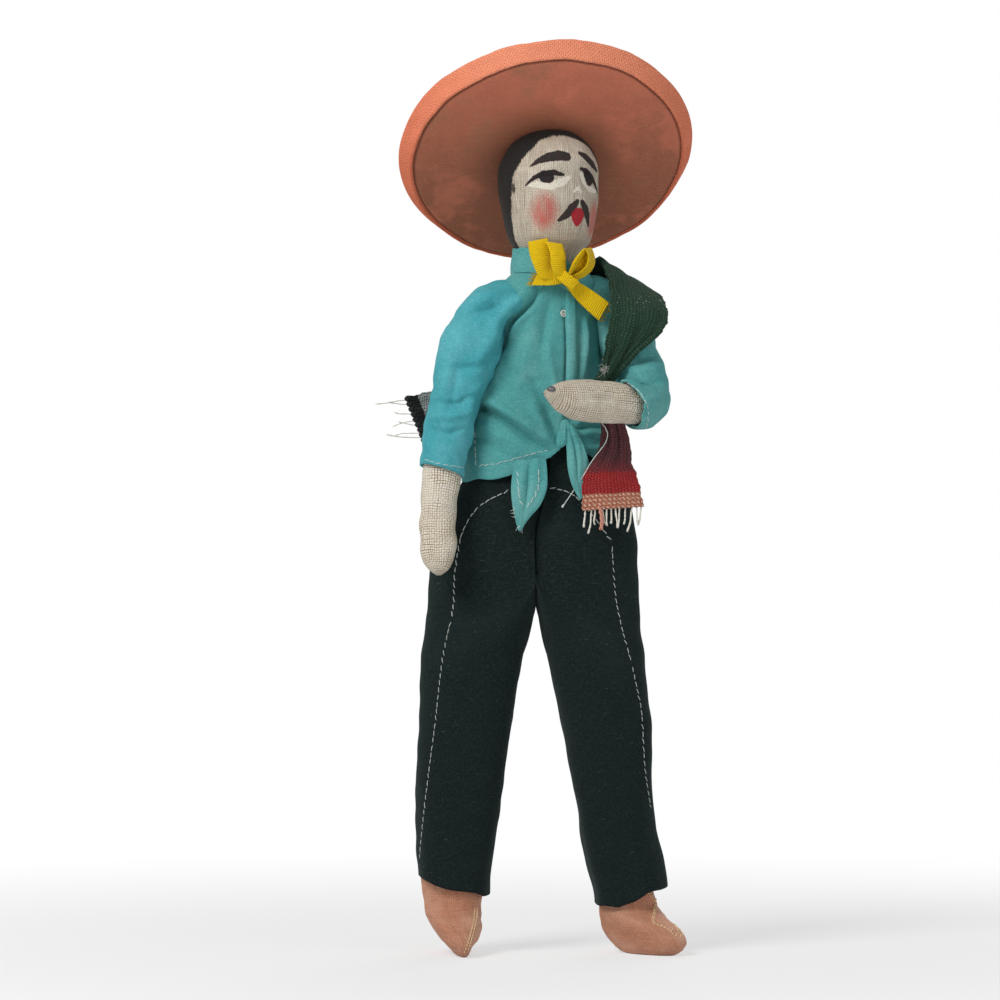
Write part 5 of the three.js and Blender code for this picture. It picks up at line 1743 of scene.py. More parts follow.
@dataclass
class Bow(Piece):
    """The ribbon bow at the collar."""

    knot: Triple = (9.0, -12.8, 195.4)
    thickness: float = 0.42
    picot: float = 0.2
    shirt: Caster | None = None

    def ribbon(self, rows: Rows, count: int) -> np.ndarray:
        """A grid along rows of centre, half width as a vector, and arch, with small loops at its edges.

        Args:
            rows: x, y, z from the knot, then the half width's x, y, z, then how far the middle stands out.
            count: how many rows the grid has.

        Returns:
            The points.
        """
        line = path(np.array(rows) + [*self.knot, 0, 0, 0, 0], count)
        along = unit(np.gradient(line[:, :3], axis=0))
        half = line[:, 3:6]
        out = unit(np.cross(half, along))
        u = np.linspace(-1, 1, 15)
        ruffle = self.picot * (np.arange(count) % 2)
        edge = 1 + (np.abs(u) > 0.99)[None, :] * ruffle[:, None] / np.linalg.norm(half, axis=1)[:, None]
        points = line[:, None, :3] + half[:, None] * (u[None, :] * edge)[..., None]
        return points + out[:, None] * ((1 - u**2)[None, :] * line[:, 6][:, None])[..., None]

    def piece(self, name: str, nodes: Sequence[str], count: int, *strips: Rows) -> None:
        """One piece made of strips of ribbon.

        Args:
            name: its name.
            nodes: what it replaces.
            count: how many rows a strip has.
            strips: the rows of each strip, as ribbon takes them.
        """
        bundle = Bundle()
        for rows in strips:
            points = self.ribbon(rows, count)
            bundle.grid(points, grid_uv(points, False))
        self.ride(bundle.build(name, self.space, FINISHES["ribbon"], self.thickness), "torso", *nodes)

    def build(self) -> None:
        """Makes two loops, two tails, the wrap and the centre of the knot, and the frays."""
        self.piece("bow_loop_flat", ["bow_loop_right"], 60, (
            (-1.4, -0.2, 0.5, 1, 0.1, 0.6, 0.1), (-5.4, -0.6, 1.7, 2, 0.6, 1.1, 0.2),
            (-7, -1.3, 5, 2.5, 0.6, 0.7, 0.4), (-7.9, -1.3, 8, 2.7, 0.4, 0.5, 0.4),
            (-8.2, -0.9, 10.7, 2.7, 0.35, 0.5, 0.2), (-8.2, -0.3, 11.3, 2.7, 0.35, 0.5, 0),
            (-8.1, 0.6, 10.5, 2.6, 0.3, 0.5, 0), (-7.6, 0.7, 7.4, 2.4, 0.3, 0.4, 0),
        ), (
            (-1, -0.9, 0.2, 1.5, 0.3, 0.3, 0.2), (-2.3, -2.4, 3.2, 1.9, 0.9, 0.1, 0.5),
            (-2.6, -2.7, 7, 2.1, 0.9, -0.2, 0.5), (-3.3, -1.9, 9.6, 2.2, 0.7, -0.4, 0.3),
            (-3.6, -1.1, 10.5, 2.2, 0.6, -0.3, 0), (-4, 0.1, 9.8, 2.1, 0.5, 0, 0),
            (-4.4, 0.5, 7, 2, 0.4, 0.1, 0), (-2, 0.4, 1.6, 1.4, 0.2, 0.2, 0),
        ))
        self.piece("bow_loop_open", ["bow_loop_left"], 60, (
            (0.5, -0.2, 0.7, 0.5, 0.6, 0.9, 0.1), (2.6, -2.2, 4.2, 1.1, 1.9, 0.6, 0.2),
            (5, -1.8, 8, 1, 2.2, 0.4, 0.2), (6.2, -1, 8.9, 0.9, 2.3, 0.2, 0.1),
            (7.2, -0.4, 6.4, 0.9, 2.3, -0.3, 0.1), (6.6, -0.4, 3.6, 0.9, 2.2, -0.3, 0.1),
            (4.2, -0.6, 1.4, 0.8, 1.6, -0.4, 0.1), (0.9, -0.2, 0.2, 0.5, 0.8, -0.6, 0.1),
        ), (
            (1.2, 0.7, 1.2, 0.6, 0.2, -0.5, 0), (3.6, 0.3, 3.8, 1.7, 0.3, -1.3, -0.3),
            (5.6, 0.2, 6.6, 1.7, 0.3, -1.2, -0.3), (6.6, 0.1, 8.2, 1.1, 0.2, -0.8, -0.1),
        ))
        self.piece("bow_end_short", ["bow_tail_right"], 26, (
            (-0.4, 0.2, 0.2, 0.2, 0.1, 1.1, 0.1), (-4, -0.4, 0.4, 0.5, 0.1, 1.9, 0.2),
            (-9.2, 0.6, 0.2, 0.9, 0.1, 1.7, 0.1),
        ))
        x, y, z = self.knot
        tail = []
        for share, half in ((0.0, 1.3), (0.3, 2.2), (0.65, 2.7), (1.0, 2.9)):
            px, pz = x + 0.8 + 10.2 * share, z - 1.0 - 8.2 * share
            base = min(self.shirt.front(px, pz)[1] - 0.9, y + 0.4 + 2.2 * share)
            tail.append((px - x, base - y, pz - z, half * 0.5, 0.2, half * 0.86, 0.35))
        self.piece("bow_end_long", ["bow_tail_left"], 34, tuple(tail))
        self.piece("bow_wrap", [], 22, (
            (-3, -1.3, 2.3, 0.7, 0.3, 1.2, 0.3), (-0.8, -2.5, 0.7, 0.85, 0.1, 1.3, 0.45),
            (1.3, -2.1, -0.9, 0.95, 0.1, 1.35, 0.35), (2.7, -1.2, -2.1, 1, 0.1, 1.4, 0.2),
        ))
        a, u = np.meshgrid(turns(40), np.linspace(-1, 1, 15), indexing="ij")
        swell = 1 + 0.1 * np.sin(3 * a) - 0.22 * u**2
        points = np.stack([
            x + 1.0 * u + 1.5 * np.cos(a) * 0.55 * swell,
            y - 0.3 - 1.5 * swell * np.sin(a) * 0.8,
            z - 1.0 * u + 1.5 * np.cos(a) * 0.75 * swell,
        ], -1)
        turned = np.swapaxes(points, 0, 1)
        bundle = Bundle().grid(turned, grid_uv(turned, True)[..., ::-1], closed=True, caps=True)
        self.spun(bundle, "bow_centre", "ribbon", "torso", "bow_knot")
        self.frays()

    def frays(self) -> None:
        """Loose threads at the cut ends."""
        rng = np.random.default_rng(8)
        bundle = Bundle()
        x, y, z = self.knot
        for start, way, spread in (
            ((x - 9.3, y + 0.5, z + 0.3), (-1.0, -0.1, -0.1), (0.9, 0.0, 1.7)),
            ((x + 11.1, 0.0, z - 9.3), (0.7, 0.0, -0.6), (1.45, 0.1, 2.5)),
        ):
            start = np.array(start)
            if start[1] == 0.0:
                start[1] = self.shirt.front(start[0], start[2])[1] - 1.3
            for _ in range(30):
                at = start + np.array(spread) * rng.uniform(-1, 1)
                size = rng.uniform(0.5, 1.7)
                end = at + (np.array(way) + rng.normal(0, 0.25, 3)) * size
                mid = (at + end) / 2 + rng.normal(0, 0.12, 3)
                bundle.tube(path([at, mid, end], 5), 0.07, 4)
        self.spun(bundle, "bow_frays", "ribbon", "torso")


SARAPE_ROWS = (
    (22.4, -17.6, 129.3, 8.8, 0.0, 0.6, 0.05),
    (21.5, -16.9, 138.3, 7.8, 0.0, 0.2, 0.1),
    (21.8, -16.6, 142.2, 5.7, 0.0, 0.0, 0.3),
    (22.9, -16.4, 147.0, 4.0, 0.0, 0.0, 0.6),
    (22.2, -16.4, 154.0, 2.8, 0.0, 0.0, 0.9),
    (19.6, -16.2, 160.0, 2.5, 0.0, 0.0, 1.0),
    (19.0, -13.4, 164.6, 2.5, 0.0, 0.2, 1.0),
    (21.6, -13.9, 168.8, 2.9, 0.0, 0.6, 1.0),
    (24.8, -14.8, 173.4, 5.1, 0.0, 1.8, 0.75),
    (28.0, -14.9, 178.6, 7.7, 0.6, 1.4, 0.45),
    (30.0, -12.6, 185.0, 8.3, 1.2, -0.4, 0.3),
    (29.4, -7.6, 191.2, 7.8, 0.8, -3.0, 0.25),
    (27.4, 0.6, 196.4, 7.6, 0.0, -4.8, 0.2),
    (24.8, 7.6, 197.4, 7.2, 0.6, -5.0, 0.25),
    (20.8, 12.4, 194.6, 6.8, 1.2, -5.0, 0.3),
    (13.4, 16.2, 186.0, 6.2, 1.0, -5.0, 0.35),
    (2.0, 16.4, 173.0, 5.8, 0.0, -5.4, 0.4),
    (-10.0, 16.0, 163.0, 4.8, 0.4, -6.2, 0.4),
    (-21.0, 13.6, 158.4, 3.2, 1.0, -7.0, 0.35),
    (-34.6, 9.0, 155.4, 2.6, 0.6, -6.6, 0.2),
)


@dataclass
class Sarape(Piece):
    """The striped sarape over the left shoulder, with its fringes and the threads sewn to it.

    Below the height of the shoulder, and in front only as far out as the arm, it keeps clear of the shirt.
    """

    width: float = 17.2
    clear: float = 2.4
    shoulder: float = 189.0
    arm: float = 33.0
    rows: int = 330
    cols: int = 45
    pieces: list[bpy.types.Object] = field(default_factory=list)
    line: np.ndarray | None = None
    points: np.ndarray | None = None

    def cloth(self) -> bpy.types.Object:
        """The folded cloth, gathered at the wrist."""
        line = path(SARAPE_ROWS, self.rows)
        along = unit(np.gradient(line[:, :3], axis=0))
        half, gather = line[:, 3:6], line[:, 6][:, None]
        out = unit(np.cross(half, along))
        u = np.linspace(-1, 1, self.cols)[None, :]
        length = lengths(line[:, :3])[:, None]
        pleats = np.cos(u * 9.4 + 0.7 + 0.03 * length) * 0.75 + np.cos(u * 4.4 + 1.1) * 0.5
        soft = np.cos(u * 3.0 + 0.06 * length) * 0.5
        lift = gather * pleats * 1.15 + (1 - gather) * soft * 0.6
        edge = 1 + 0.02 * np.sin(length * 1.3) + 0.015 * np.sin(length * 3.1 + u)
        points = line[:, None, :3] + half[:, None] * (u * edge)[..., None] + out[:, None] * lift[..., None]
        points = points + out[:, None] * Ripple(51, 9.0, 0.22)(points)[..., None]
        row = between(SHIRT_ROWS, points[..., 2].ravel()).reshape(*points.shape[:2], 6)
        t = np.clip((points[..., 0] - row[..., 1]) / row[..., 3], -0.98, 0.98)
        turn = (points[..., 0] - row[..., 1]) * np.sin(np.radians(row[..., 5]))
        deep = row[..., 4] * np.sqrt(1 - t**2)
        low = points[..., 2] < self.shoulder
        y = points[..., 1]
        front = low & (y < 0) & (points[..., 0] < self.arm)
        y = np.where(front, np.minimum(y, -deep + turn - self.clear), y)
        y = np.where(low & (y > 0), np.maximum(y, deep + turn + self.clear), y)
        points[..., 1] = y
        self.line, self.points = line, points
        uv = np.stack(np.broadcast_arrays(u * (self.width / 2), length), -1)
        made = Bundle().grid(points, uv).build("sarape_cloth", self.space, FINISHES["sarape"], 1.5)
        return self.ride(made, "torso", "sarape")

    def threads(
        self, bundle: Bundle, row: int, way: np.ndarray, count: int, size: float, seed: int, radius: float
    ) -> None:
        """Hanging threads with knotted ends, along one edge of the cloth.

        Args:
            bundle: what they are added to.
            row: the cloth's row that they hang from.
            way: the direction in which they hang.
            count: how many there are.
            size: how long they are.
            seed: for their unevenness.
            radius: their radius.
        """
        rng = np.random.default_rng(seed)
        edge = self.points[row]
        for i in range(count):
            u = (i + 0.5 + rng.uniform(-0.25, 0.25)) / count
            k = u * (len(edge) - 1)
            at = edge[int(k)] + (edge[min(int(k) + 1, len(edge) - 1)] - edge[int(k)]) * (k % 1)
            length = size * rng.uniform(0.75, 1.12)
            sway = rng.normal(0, 0.1, 3)
            line = [
                at - way * 0.6,
                at + way * length * 0.3 + sway * 2,
                at + (way + sway) * length * 0.7 + rng.normal(0, 0.18, 3),
                at + (way + sway * 1.6) * length,
            ]
            fine = path(line, 12)
            thick = radius * (1 + 0.12 * rng.normal(0, 1, 12))
            thick[-2:] *= rng.uniform(1.25, 1.6)
            thick[-1] *= 0.6
            bundle.tube(fine, np.abs(thick), 7)

    def sewn(self, bundle: Bundle, name: str, finish: str, *nodes: str) -> None:
        """Makes a bundle of threads that goes with the cloth."""
        self.pieces.append(self.spun(bundle, name, finish, "torso", *nodes))

    def fringes(self) -> None:
        """The front fringe with its pink yarn, and the back fringe with its edge knots."""
        down = unit(np.array([0.02, 0.02, -1.0]))
        front = Bundle()
        self.threads(front, 0, down, 12, 5.6, 61, 0.25)
        self.sewn(front, "fringe_front", "cream", "sarape_fringe_front")
        pink = Bundle()
        edge = self.points[0]
        at = edge[int(0.27 * len(edge))] + [0, -0.9, 0]
        for turn in (0.0, math.pi):
            t = np.linspace(0, 1, 26)
            x = 0.32 * np.cos(turn + 13 * t) + 0.7 * np.sin(2.6 * t)
            line = at + [0, 0.2, 0.8] + np.stack([x, 0.32 * np.sin(turn + 13 * t), -6.6 * t], 1)
            pink.tube(line, 0.34 * np.where(t > 0.92, 0.7, 1.0), 7)
        self.sewn(pink, "fringe_pink", "pink")
        back = Bundle()
        way = unit(np.array([-1.0, -0.12, 0.02]))
        self.threads(back, -1, way, 7, 9.0, 62, 0.15)
        self.sewn(back, "fringe_back", "cream", "sarape_fringe_back")
        knots = Bundle()
        for i in range(9):
            k = int((i + 0.5) / 9 * len(edge))
            centre = self.points[-1][k]
            line = path([centre + way * -0.9, centre + way * 0.4, centre + way * 1.3], 7)
            knots.tube(line, np.array([0.3, 0.75, 0.95, 1.0, 0.9, 0.7, 0.2]), 8)
        self.sewn(knots, "edge_knots", "black")

    def tack(self, cloth: bpy.types.Object) -> None:
        """The tuft of thread that gathers the cloth at the wrist."""
        rng = np.random.default_rng(71)
        bundle = Bundle()
        centre = Caster(self.space, cloth).front(20.0, 169.2, 0.3)
        for _ in range(110):
            way = unit(rng.normal(size=3) * [1.0, 0.6, 1.0])
            size = rng.uniform(0.3, 1.7) ** 1.2
            start = centre + rng.normal(0, 0.45, 3) * [1.0, 0.5, 1.2]
            mid = start + way * size * 0.5 + rng.normal(0, 0.25, 3)
            bundle.tube(path([start, mid, start + way * size + rng.normal(0, 0.25, 3)], 6), 0.06, 4)
        self.sewn(bundle, "tack_tuft", "grey", "sarape_tack")

    def build(self) -> bpy.types.Object:
        """Makes all of it, and gives back the cloth."""
        cloth = self.cloth()
        self.fringes()
        self.tack(cloth)
        steps = np.linalg.norm(np.diff(self.line[:, :3], axis=0), axis=1)
        long = float(steps.sum())
        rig.sheet(cloth, flat=(self.width * MM, long * MM), held="draped", rests_on=["shirt_body"],
                 area=self.measured(), with_pieces=self.pieces)
        return cloth

    def measured(self) -> float:
        """The cloth's flat area in square metres, narrower at the back end than a full rectangle."""
        p = self.points
        a = np.linalg.norm(np.cross(p[1:, 1:] - p[:-1, :-1], p[1:, :-1] - p[:-1, 1:]), axis=-1) / 2
        return float(a.sum()) * MM * MM


@dataclass(frozen=True)
class Cut:
    """How one trouser leg is cut: rows of height, inner edge, outer edge and half depth."""

    side: str
    rows: Rows
    hem: Line
    stitches: tuple[Line, ...]


RIGHT_CUT = Cut(
    "right",
    ((10, -13.4, -33.9, 9.6), (18.6, -13.4, -34.2, 9.6), (29, -12, -35.2, 9.7), (45.8, -9.5, -35.1, 10.2),
     (56.3, -8, -34.2, 10.6), (67.9, -6.1, -33.3, 11), (86.9, -2.9, -32.6, 11.5), (98, -0.5, -31.4, 11.9),
     (102, 0.2, -31.1, 12), (112, 0.2, -30.5, 12.4), (122, 0.2, -29, 12.9), (134.5, 2.8, -23.2, 12.6),
     (139.5, 4, -20.2, 12.4), (152, 4.6, -18.4, 12)),
    ((-34.4, 22.8), (-28.6, 20.2), (-14.3, 17), (-12, 17)),
    (
        photo((510, 490), (489, 500), (475, 511), (464, 529), (459, 547), (455, 574), (454, 601), (452, 616)),
        photo((452, 618), (448, 633), (442, 665), (436, 719), (431, 757), (427, 789), (423, 824), (420, 857)),
    ),
)
LEFT_CUT = Cut(
    "left",
    ((8, 17.2, 37.6, 9.6), (16.6, 16.6, 37.8, 9.6), (26.5, 13.8, 37.2, 9.7), (35.9, 12.2, 35.2, 10),
     (47.5, 10.8, 34.2, 10.4), (67.6, 7, 33.4, 11), (86.9, 3, 32.2, 11.5), (98, 1, 31.2, 11.9),
     (102, 0.2, 30.9, 12), (112, 0.2, 30.3, 12.4), (122, 0.2, 30, 12.9), (134.5, 2.8, 28, 12.6),
     (139.5, 4, 24.6, 12.4), (152, 4.6, 19.5, 11.4)),
    ((16.6, 14.2), (24.2, 14), (32, 17.8), (38, 19.2)),
    (
        photo((548, 487), (571, 494), (590, 513), (605, 533), (611, 542)),
        photo((611, 543), (612.5, 565), (615, 597), (621, 627), (630, 660)),
        photo((631, 664), (637.5, 694), (641, 715), (644, 766), (650, 807)),
    ),
)


@dataclass
class Trouser(Piece):
    """One side of the felt trousers, from the waist to the hem, in one piece that bends at the hip."""

    cut: Cut = RIGHT_CUT
    rows: int = 190
    cols: int = 120
    top: float = 151.5
    foot: float = 18.0
    thickness: float = 1.3
    hem_rows: int = 14

    def shape(self) -> np.ndarray:
        """The rings from the hem to the waist."""
        angle = turns(self.cols)
        side = -1.0 if self.cut.side == "right" else 1.0
        low = between(self.cut.rows, np.full(1, self.foot))[0]
        middle, half = (low[1] + low[2]) / 2, abs(low[2] - low[1]) / 2
        c, s = np.cos(angle), np.sin(angle)
        foot_x = middle + side * half * c
        hem = np.interp(foot_x, *zip(*self.cut.hem)) + 0.25 * np.sin(5 * angle)
        share = np.linspace(0, 1, self.rows)[:, None] ** 0.94
        z = hem + (self.top - hem) * share
        row = between(self.cut.rows, z.ravel()).reshape(*z.shape, 4)
        inner, outer, deep = row[..., 1], row[..., 2], row[..., 3]
        wide = outer - inner
        body = step(z, 86.0, 111.0)
        boxy = 2 / 2.35
        cx, sx = np.sign(c) * np.abs(c) ** boxy, np.sign(s) * np.abs(s) ** boxy
        leg_x, leg_y = inner + wide * (1 + cx) / 2, deep * sx
        hip_x = inner + wide * np.maximum(c, 0) ** 0.92
        hip_y = deep * np.where(c > 0, s, np.sign(s) * np.minimum(np.abs(s) ** 0.4, 1.0))
        hip_y = hip_y * (1 - 0.09 * np.exp(-((np.abs(c) / 0.16) ** 2)))
        x = leg_x + (hip_x - leg_x) * body
        y = leg_y + (hip_y - leg_y) * body
        x = x - side * 0.2 * body
        points = np.stack([x, y, z], -1)
        out = outward(points, np.stack([inner + wide * 0.5, 0 * z, z], -1))
        wall = body * (c < 0.15)
        lift = Ripple(81 + int(side), 24.0, 0.5)(points * [1.0, 1.0, 0.45])
        lift = lift + Ripple(83 + int(side), 9.0, 0.16)(points)
        flap = 0.5 * np.sin(3 * angle + 1.3 * side) + 0.4 * np.sin(5 * angle + 0.5)
        lift = lift + flap * (1 - step(z, 15, 70)) * 0.7
        lift = lift * (1 - wall) * (1 - step(z, 130, 139) * 0.9) * step(np.abs(x), 0.2, 4.0)
        points = points + out * lift[..., None]
        points[..., 1] *= (1 - 0.045 * step(z, 136.0, 140.0))
        return hemmed(points, self.thickness, self.hem_rows)

    def build(self) -> bpy.types.Object:
        """Makes the side and the stitches on it."""
        side = self.cut.side
        made = self.rings(f"trousers_{side}", self.shape(), "felt")
        caster = Caster(self.space, made)
        middle = -15.5 if side == "right" else 15.5
        hip = ("torso", f"{side}_leg"), (middle, 0.0, 124.0), (middle, 0.0, 108.0)
        nodes = [f"{side}_trouser_leg", f"{side}_leg"] + (["trousers_seat"] if side == "right" else [])
        self.bend(made, *hip, *nodes)
        bundle = Bundle()
        for seed, line in enumerate(self.cut.stitches):
            running_stitch(bundle, *caster.laid(line, 160), 2.1, 0.8, 0.14 if seed == 0 else 0.11, seed + 20)
        self.bend(bundle.build(f"trouser_stitches_{side}", self.space, FINISHES["dull"]), *hip)
        return made


@dataclass
class Foot(Piece):
    """A stuffed foot of tan cloth with a seam over its instep."""

    side: str = "right"
    middle: float = -24.1
    hem: float = 18.6
    toe: float = 6.0
    sole: float = 3.6
    ankle: float = 9.2
    front: float = 20.5
    heel: float = 9.0
    rise: float = 0.0
    slim: float = 0.0
    drift: float = 0.0
    cols: int = 96
    seam: Line = ()

    def row(self, z: float, half: float, heel: float, reach: float) -> tuple[float, ...]:
        """One outline: height, centre, half width, half length and turn."""
        turn = math.radians(self.toe)
        mid = (heel - reach) / 2
        drift = self.drift * max(0.0, 1 - z / 14)
        x = self.middle + drift - mid * math.sin(turn)
        return (z, x, mid * math.cos(turn), half, (heel + reach) / 2, self.toe)

    def build(self) -> None:
        """Makes the foot."""
        a, t, h = self.ankle, self.front, self.heel
        sole, rise, slim = self.sole, self.rise, self.slim
        top = self.hem + 8.7
        rows = (
            self.row(0.0, sole, h - 2.6 - rise, t - 4),
            self.row(0.5, sole + 0.9 - 0.3 * slim, h - 1.8 - 0.85 * rise, t - 2.6),
            self.row(1.6, sole + 1.9 - 0.6 * slim, h - 0.9 - 0.7 * rise, t - 0.9),
            self.row(4.0, sole + 3.2 + 0.2 * slim, h - 0.4 * rise, t),
            self.row(7.0, a - 1.4 - 1.2 * slim, h - 0.2 - 0.15 * rise, t - 2.8),
            self.row(10.5, a - 0.4 - 0.9 * slim, h - 0.6, t - 8),
            self.row(13.2, a - 0.3 - 0.5 * slim, h - 1.3, a - 1.1),
            self.row(self.hem + 4, a - 0.2 - 1.3 * (1 - slim), h - 2.3, a - 2.4),
            self.row(top, a - 2.4, h - 3, a - 3.2),
        )
        z = np.r_[np.linspace(0, 1.6, 10)[:-1], np.linspace(1.6, top, 70)]
        angle = turns(self.cols)
        line = between(rows, z)
        points = ring(np.repeat(line[:, None], self.cols, 1), np.broadcast_to(angle, (len(z), self.cols)))
        out = outward(points)
        lift = Ripple(91, 7.0, 0.28)(points) + Ripple(92, 3.5, 0.09)(points)
        points = points + out * (lift * step(points[..., 2], 0.6, 3.0))[..., None]
        made = self.rings(f"{self.side}_foot_pad", points, "foot", caps=True)
        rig.padded(made, 0.8)
        caster = Caster(self.space, made)
        self.ride(made, f"{self.side}_leg", f"{self.side}_foot")
        bundle = Bundle()
        for seed, shift in ((40, -0.35), (41, 0.35)):
            line = caster.laid([(x + shift, z) for x, z in self.seam], 60)
            running_stitch(bundle, *line, 1.15, 0.72, 0.17, seed)
        self.spun(bundle, f"{self.side}_foot_seam", "gold", f"{self.side}_leg")


@dataclass
class Nail(Piece):
    """The dark bead at the tip of the left hand."""

    hand: bpy.types.Object | None = None

    def build(self) -> None:
        """Makes the bead, with a painted highlight of grey on its middle."""
        caster = Caster(self.space, self.hand)
        centre = caster.front(4.4, 163.3, 0.1)
        rows = np.linspace(0.02, math.pi - 0.02, 24)
        t, a = np.meshgrid(rows, turns(40), indexing="ij")
        points = centre + np.stack([
            1.25 * np.sin(t) * np.cos(a), -0.75 * np.cos(t), 0.88 * np.sin(t) * np.sin(a)], -1)
        t, a = np.meshgrid(rows, np.linspace(0, ROUND, 41), indexing="ij")
        uv = np.stack([a, (1 - t / math.pi) * 2.6], -1)
        bundle = Bundle().grid(points, uv, closed=True, caps=True)
        self.spun(bundle, "hand_bead", "bead", "left_forearm", "left_hand_nail")


@dataclass
class Thread(Piece):
    """The loose end of sewing thread that lies on the sarape and the trousers."""

    def build(self, caster: Caster) -> None:
        """Lays the thread on the cloth."""
        line = photo(
            (601, 424), (604.6, 430), (605.8, 437), (602, 447), (591, 462), (578, 483), (561.4, 507.5))
        at, _ = caster.laid(line, 90, 0.2)
        for _ in range(30):
            level = np.convolve(np.pad(at[:, 1], 2, "edge"), np.ones(5) / 5, "valid")
            at[:, 1] = np.minimum(at[:, 1], level)
        bundle = Bundle().tube(at, np.r_[np.full(86, 0.15), 0.24, 0.36, 0.36, 0.15], 7)
        self.spun(bundle, "sewing_thread_end", "white", "torso")


@dataclass
class Studio:
    """The camera, the pale floor, the lamps and the world.

    Two of its sizes are metres: reach, which is how far the camera sees, and half the floor's side.
    """

    space: Space
    eye: Triple = (-10.2, -1400.0, 131.8)
    lens: float = 172.9
    sensor: float = 36.0
    reach: float = 20.0
    chest: Triple = (0.0, 0.0, 140.0)
    half: float = 3.0

    @staticmethod
    def added(name: str, data: bpy.types.ID) -> bpy.types.Object:
        """A new object of the scene."""
        made = bpy.data.objects.new(name, data)
        bpy.context.scene.collection.objects.link(made)
        return made

    def camera(self) -> None:
        """The camera, level and square to the doll's front."""
        data = bpy.data.cameras.new("camera")
        data.lens, data.sensor_width, data.clip_end = self.lens, self.sensor, self.reach
        made = self.added("camera", data)
        made.location = self.space.at(self.eye)
        made.rotation_euler = (math.pi / 2, 0.0, 0.0)
        bpy.context.scene.camera = made

    def floor(self) -> None:
        """The floor, which shows white to the camera and keeps the doll's shadow."""
        mesh = bpy.data.meshes.new("floor")
        corners = [(x * self.half, y * self.half, 0) for x, y in ((-1, -1), (1, -1), (1, 1), (-1, 1))]
        mesh.from_pydata(corners, [], [(0, 1, 2, 3)])
        graph = Graph.of_material("pale_floor")
        place = graph.node("ShaderNodeNewGeometry")
        far = graph.node("ShaderNodeVectorMath", {"operation": "LENGTH", "out": 1}, place)
        seen = self.seen(graph) * (far.rise(0.09, 0.42) * 0.45 + 0.55)
        bare = graph.node("ShaderNodeBsdfDiffuse", {}, Color=(0.86, 0.86, 0.86, 1.0))
        glow = graph.node("ShaderNodeEmission", {}, Color=(1.0, 1.0, 1.0, 1.0), Strength=1.0)
        both = graph.node("ShaderNodeMixShader", {}, seen, bare, glow)
        graph.tree.links.new(both.out, graph.end.inputs[0])
        mesh.materials.append(graph.material)
        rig.stage(self.added("floor", mesh))

    @staticmethod
    def seen(graph: "Graph") -> Socket:
        """1 for rays that the camera sees straight, mirrored or through glass."""
        rays = [graph.node("ShaderNodeLightPath", {"out": k}) for k in (0, 3, 6)]
        return rays[0].most(rays[1]).most(rays[2])

    def world(self) -> None:
        """A white surround for the camera, and an even, dimmer light for the doll."""
        world = bpy.data.worlds.new("surround")
        bpy.context.scene.world = world
        world.use_nodes = True
        graph = Graph(world.node_tree, "ShaderNodeOutputWorld")
        light = graph.node("ShaderNodeBackground", {}, (0.97, 0.98, 1.0, 1.0), 0.3)
        white = graph.node("ShaderNodeBackground", {}, (1.0, 1.0, 1.0, 1.0), 1.0)
        both = graph.node("ShaderNodeMixShader", {}, self.seen(graph), light, white)
        graph.tree.links.new(both.out, graph.end.inputs[0])

    def lamp(self, name: str, at: Triple, size: float, power: float, colour: Triple) -> None:
        """One square lamp that faces the doll's chest.

        Args:
            name: its name.
            at: its place in the doll's frame.
            size: its side in metres.
            power: its power in watts.
            colour: its colour.
        """
        data = bpy.data.lights.new(name, "AREA")
        data.size, data.energy, data.color = size, power, colour
        made = self.added(name, data)
        made.location = self.space.at(at)
        aim = self.space.at(self.chest) - made.location
        made.rotation_euler = aim.to_track_quat("-Z", "Y").to_euler()

    def build(self) -> None:
        """Makes everything but the camera."""
        self.floor()
        self.world()
        self.lamp("key", (-560.0, -620.0, 800.0), 0.42, 6.6, (1.0, 0.985, 0.96))
        self.lamp("fill", (700.0, -700.0, 330.0), 0.8, 1.7, (0.95, 0.98, 1.0))
        self.lamp("rim", (160.0, 700.0, 560.0), 0.5, 1.6, (1.0, 1.0, 1.0))
        bpy.context.scene.view_settings.view_transform = "Standard"


def keep_sizes(name: str, boxes: list[object]) -> None:
    """Writes the model's box before and after the work."""
    with open(name, "w", encoding="utf-8") as out:
        json.dump([[list(map(float, corner)) for corner in box] for box in boxes], out)


